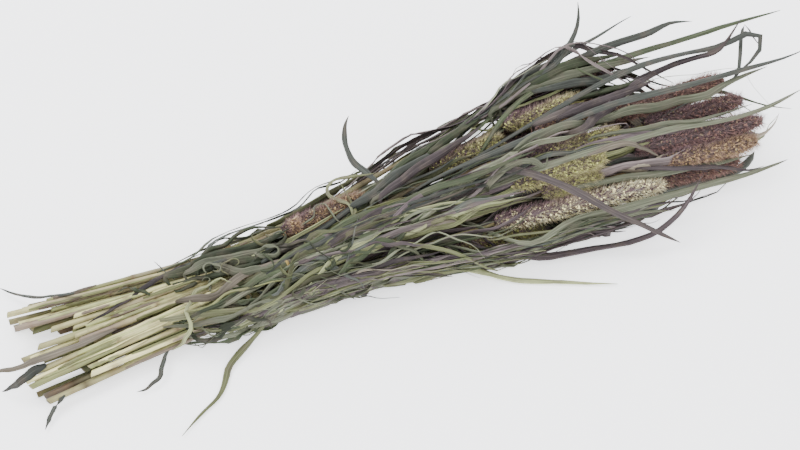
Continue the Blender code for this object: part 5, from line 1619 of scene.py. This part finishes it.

# %% [markdown]
# ## One mesh from many copies
# A stalk has a straw or two and nearly twenty blades, and a head more than a thousand grains. As separate
# objects they would slow the scene down and could not take a node's place as one part. Joining objects
# with an operator is slow too. So the corners and faces of all copies are written into one mesh at once,
# and the colours and places go with them.

# %% One object from groups of copies


def build_piece(name, groups, finishes):
    """One object from groups of copies, with their colours and places as attributes."""
    mesh = bpy.data.meshes.new(name)
    starts = np.cumsum([0] + [len(group["spots"]) for group in groups[:-1]])
    spots = np.concatenate([group["spots"] for group in groups])
    loops = np.concatenate([group["loops"] + start for group, start in zip(groups, starts)])
    sizes = np.concatenate([group["sizes"] for group in groups])
    mesh.vertices.add(len(spots))
    mesh.vertices.foreach_set("co", spots.astype(np.float32).ravel())
    mesh.loops.add(len(loops))
    mesh.loops.foreach_set("vertex_index", loops.astype(np.int32))
    mesh.polygons.add(len(sizes))
    mesh.polygons.foreach_set("loop_start", (np.cumsum(sizes) - sizes).astype(np.int32))
    finish_index = np.concatenate([group["finish"] for group in groups])
    mesh.polygons.foreach_set("material_index", finish_index.astype(np.int32))
    mesh.polygons.foreach_set("use_smooth", np.ones(len(sizes), dtype=bool))
    tints = np.concatenate([group["tints"] for group in groups])
    tint = mesh.color_attributes.new(EACH_COLOUR, "FLOAT_COLOR", "POINT")
    with_alpha = np.column_stack((tints, np.ones(len(tints))))
    tint.data.foreach_set("color", with_alpha.astype(np.float32).ravel())
    places = np.concatenate([group["places"] for group in groups])
    place = mesh.uv_layers.new(name=PLACE_ON_SHAPE)
    place.data.foreach_set("uv", places[loops].astype(np.float32).ravel())
    mesh.update()
    for finish in finishes:
        mesh.materials.append(finish)
    made = bpy.data.objects.new(name, mesh)
    bpy.context.scene.collection.objects.link(made)
    return made


print("blades to build:", sum(len(stalk["laid"]) for stalk in stalks))

# %% From laid shapes to pieces that take the nodes' places


def lay_copies(shape, laid):
    """Groups of copies for pieces that were laid one by one."""
    return [copies(shape, one["spots"][None], one["tints"][None], one["places"][None]) for one in laid]


def hand_over(piece, node):
    """Hides the node that a piece replaces, and lets the piece rest with the bunch."""
    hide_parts(node)
    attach(piece, "root")


def thicken(piece):
    """Gives flat blades their thickness."""
    solidify = piece.modifiers.new("thickness", "SOLIDIFY")
    solidify.thickness = BLADE_THICKNESS
    solidify.offset = 0.0


print("a blade is", round(1000 * BLADE_THICKNESS, 2), "mm thick")

# %% [markdown]
# ## The stalks and heads
# Each stalk is one node of the model, and its straws and blades have different finishes, so it is built as
# two pieces that take the node's place together. A head takes the place of its own node. Heads that the
# photograph shows get all their grains and bristles, and hidden ones get fewer, as the whole bunch should
# stay under a million triangles.

# %% Build the stalks and heads
SHOWN_GRAINS, SHOWN_BRISTLES = 1150, 2800
HIDDEN_GRAINS, HIDDEN_BRISTLES = 300, 500

for number, stalk in enumerate(stalks, start=1):
    leaves = lay_copies(FLAT_BLADE, stalk["laid"])
    straws = lay_copies(STRAW, [straw for _, straw in stalk["straws"]])
    hand_over(build_piece(f"millet_straw_{number:02d}", straws, (STRAW_SKIN,)), stalk["node"])
    if leaves:
        blades = build_piece(f"millet_blades_{number:02d}", leaves, (LEAF,))
        thicken(blades)
        hand_over(blades, stalk["node"])
    if number <= SHOWN_HEADS:
        groups = grow_head(number, stalk["head"], SHOWN_GRAINS, SHOWN_BRISTLES)
    else:
        groups = grow_head(number, stalk["head"], HIDDEN_GRAINS, HIDDEN_BRISTLES)
    if number == 1:
        groups += SPIKELET_GROUPS
    seed_head = build_piece(f"millet_head_{number:02d}", groups, (SEED,))
    hand_over(seed_head, stalk["node"].replace("stalk", "head"))

# %% [markdown]
# ## The tie
# The leaves hide the band that gathers the stems. A torus would do for a cord, but a florist's tie is a
# few turns of raffia, which is itself a dry leaf fibre. So the flat blade is laid four times round the
# outline that the model's band gives.

# %% The outline of the band
OUTLINE_POINTS = 37
NEAR_CORNERS, OUTER_CORNERS = 8, 4
band_data = merged_copy("band")
band_spots = np.array([corner.co for corner in band_data.verts])
band_data.free()
band_middle = band_spots.mean(axis=0)
band_low, band_high = band_spots[:, 0].min(), band_spots[:, 0].max()
band_spins = np.arctan2(*(band_spots - band_middle)[:, :0:-1].T)
band_reach = np.linalg.norm((band_spots - band_middle)[:, 1:], axis=1)
round_spins = np.linspace(-math.pi, math.pi, OUTLINE_POINTS)
outline = []
for spin in round_spins:
    nearest = np.argsort(np.abs((band_spins - spin + math.pi) % (2 * math.pi) - math.pi))[:NEAR_CORNERS]
    outline.append(np.sort(band_reach[nearest])[-OUTER_CORNERS:].mean())
outline = np.array(outline)
print("the band is", round(1000 * float(band_high - band_low), 1), "mm wide")

# %% The turns of raffia
RAFFIA_TURNS = 4
RAFFIA_HALF = 0.0012
RAFFIA_INSET = 0.0006
RAFFIA_COLOUR = colour(112, 102, 72)
RAFFIA_BRIGHTNESS = (0.7, 1.1)
outward = np.column_stack((np.zeros(OUTLINE_POINTS), np.cos(round_spins), np.sin(round_spins)))
raffia = []
for at in np.linspace(band_low + RAFFIA_HALF, band_high - RAFFIA_HALF, RAFFIA_TURNS):
    route = band_middle * (0, 1, 1) + (at, 0, 0) + (outline - RAFFIA_INSET)[:, None] * outward
    halves = np.full(OUTLINE_POINTS, RAFFIA_HALF)
    tint = RAFFIA_COLOUR * rng.uniform(*RAFFIA_BRIGHTNESS)
    raffia.append(lay_blade(route, halves, outward, tint, twist=0.1, wander=0.0004, roll=0.6, flip=False))
RAFFIA = fibre_finish("raffia", blotch=colour(120, 92, 60), amount=0.4, light=0.2, rough=0.7)
tie = build_piece("millet_tie", lay_copies(FLAT_BLADE, raffia), (RAFFIA,))
thicken(tie)
hand_over(tie, "band")
print("turns of raffia:", len(raffia))

# %% [markdown]
# ## Table and light
# A photo table gives soft, almost shadowless light. Many lamps round the object could do it, but a wide
# pale sheet that glows a little under a bright even sky is simpler. One large lamp from the upper left adds
# the faint shadow on the near side, and a weaker one from the near side keeps it soft.

# %% The table
FLOOR_SIZE = 6.0
PAPER_COLOUR, PAPER_ROUGHNESS, PAPER_GLOW = colour(240, 241, 244), 0.9, 1.1
floor_data = bmesh.new()
bmesh.ops.create_grid(floor_data, x_segments=1, y_segments=1, size=FLOOR_SIZE / 2)
floor_mesh = bpy.data.meshes.new("table")
floor_data.to_mesh(floor_mesh)
floor_data.free()
floor = bpy.data.objects.new("table", floor_mesh)
bpy.context.scene.collection.objects.link(floor)
paper = bpy.data.materials.new("pale table")
paper.use_nodes = True
paper_shader = paper.node_tree.nodes["Principled BSDF"]
paper_shader.inputs["Base Color"].default_value = (*PAPER_COLOUR, 1.0)
paper_shader.inputs["Roughness"].default_value = PAPER_ROUGHNESS
paper_shader.inputs["Emission Color"].default_value = (1.0, 1.0, 1.0, 1.0)
paper_shader.inputs["Emission Strength"].default_value = PAPER_GLOW
floor_mesh.materials.append(paper)
print("table:", FLOOR_SIZE, "m square")

# %% The light
SKY_COLOUR, SKY_STRENGTH = (0.98, 0.98, 1.0, 1.0), 2.5
LAMPS = (
    ("key", (-0.9, 1.2, 2.2), 1.4, 58),
    ("fill", (1.2, -1.4, 2.0), 2.0, 18),
)
world = bpy.data.worlds.new("studio")
bpy.context.scene.world = world
world.use_nodes = True
world.node_tree.nodes["Background"].inputs["Color"].default_value = SKY_COLOUR
world.node_tree.nodes["Background"].inputs["Strength"].default_value = SKY_STRENGTH


def add_lamp(name, place, size, power):
    """A round lamp that shines from its place at the bunch."""
    data = bpy.data.lights.new(name, "AREA")
    data.shape = "DISK"
    data.size = size
    data.energy = power
    lamp = bpy.data.objects.new(name, data)
    lamp.location = place
    lamp.rotation_euler = Vector(place).to_track_quat("Z", "Y").to_euler()
    bpy.context.scene.collection.objects.link(lamp)


for lamp in LAMPS:
    add_lamp(*lamp)
print("lamps:", [lamp[0] for lamp in LAMPS])
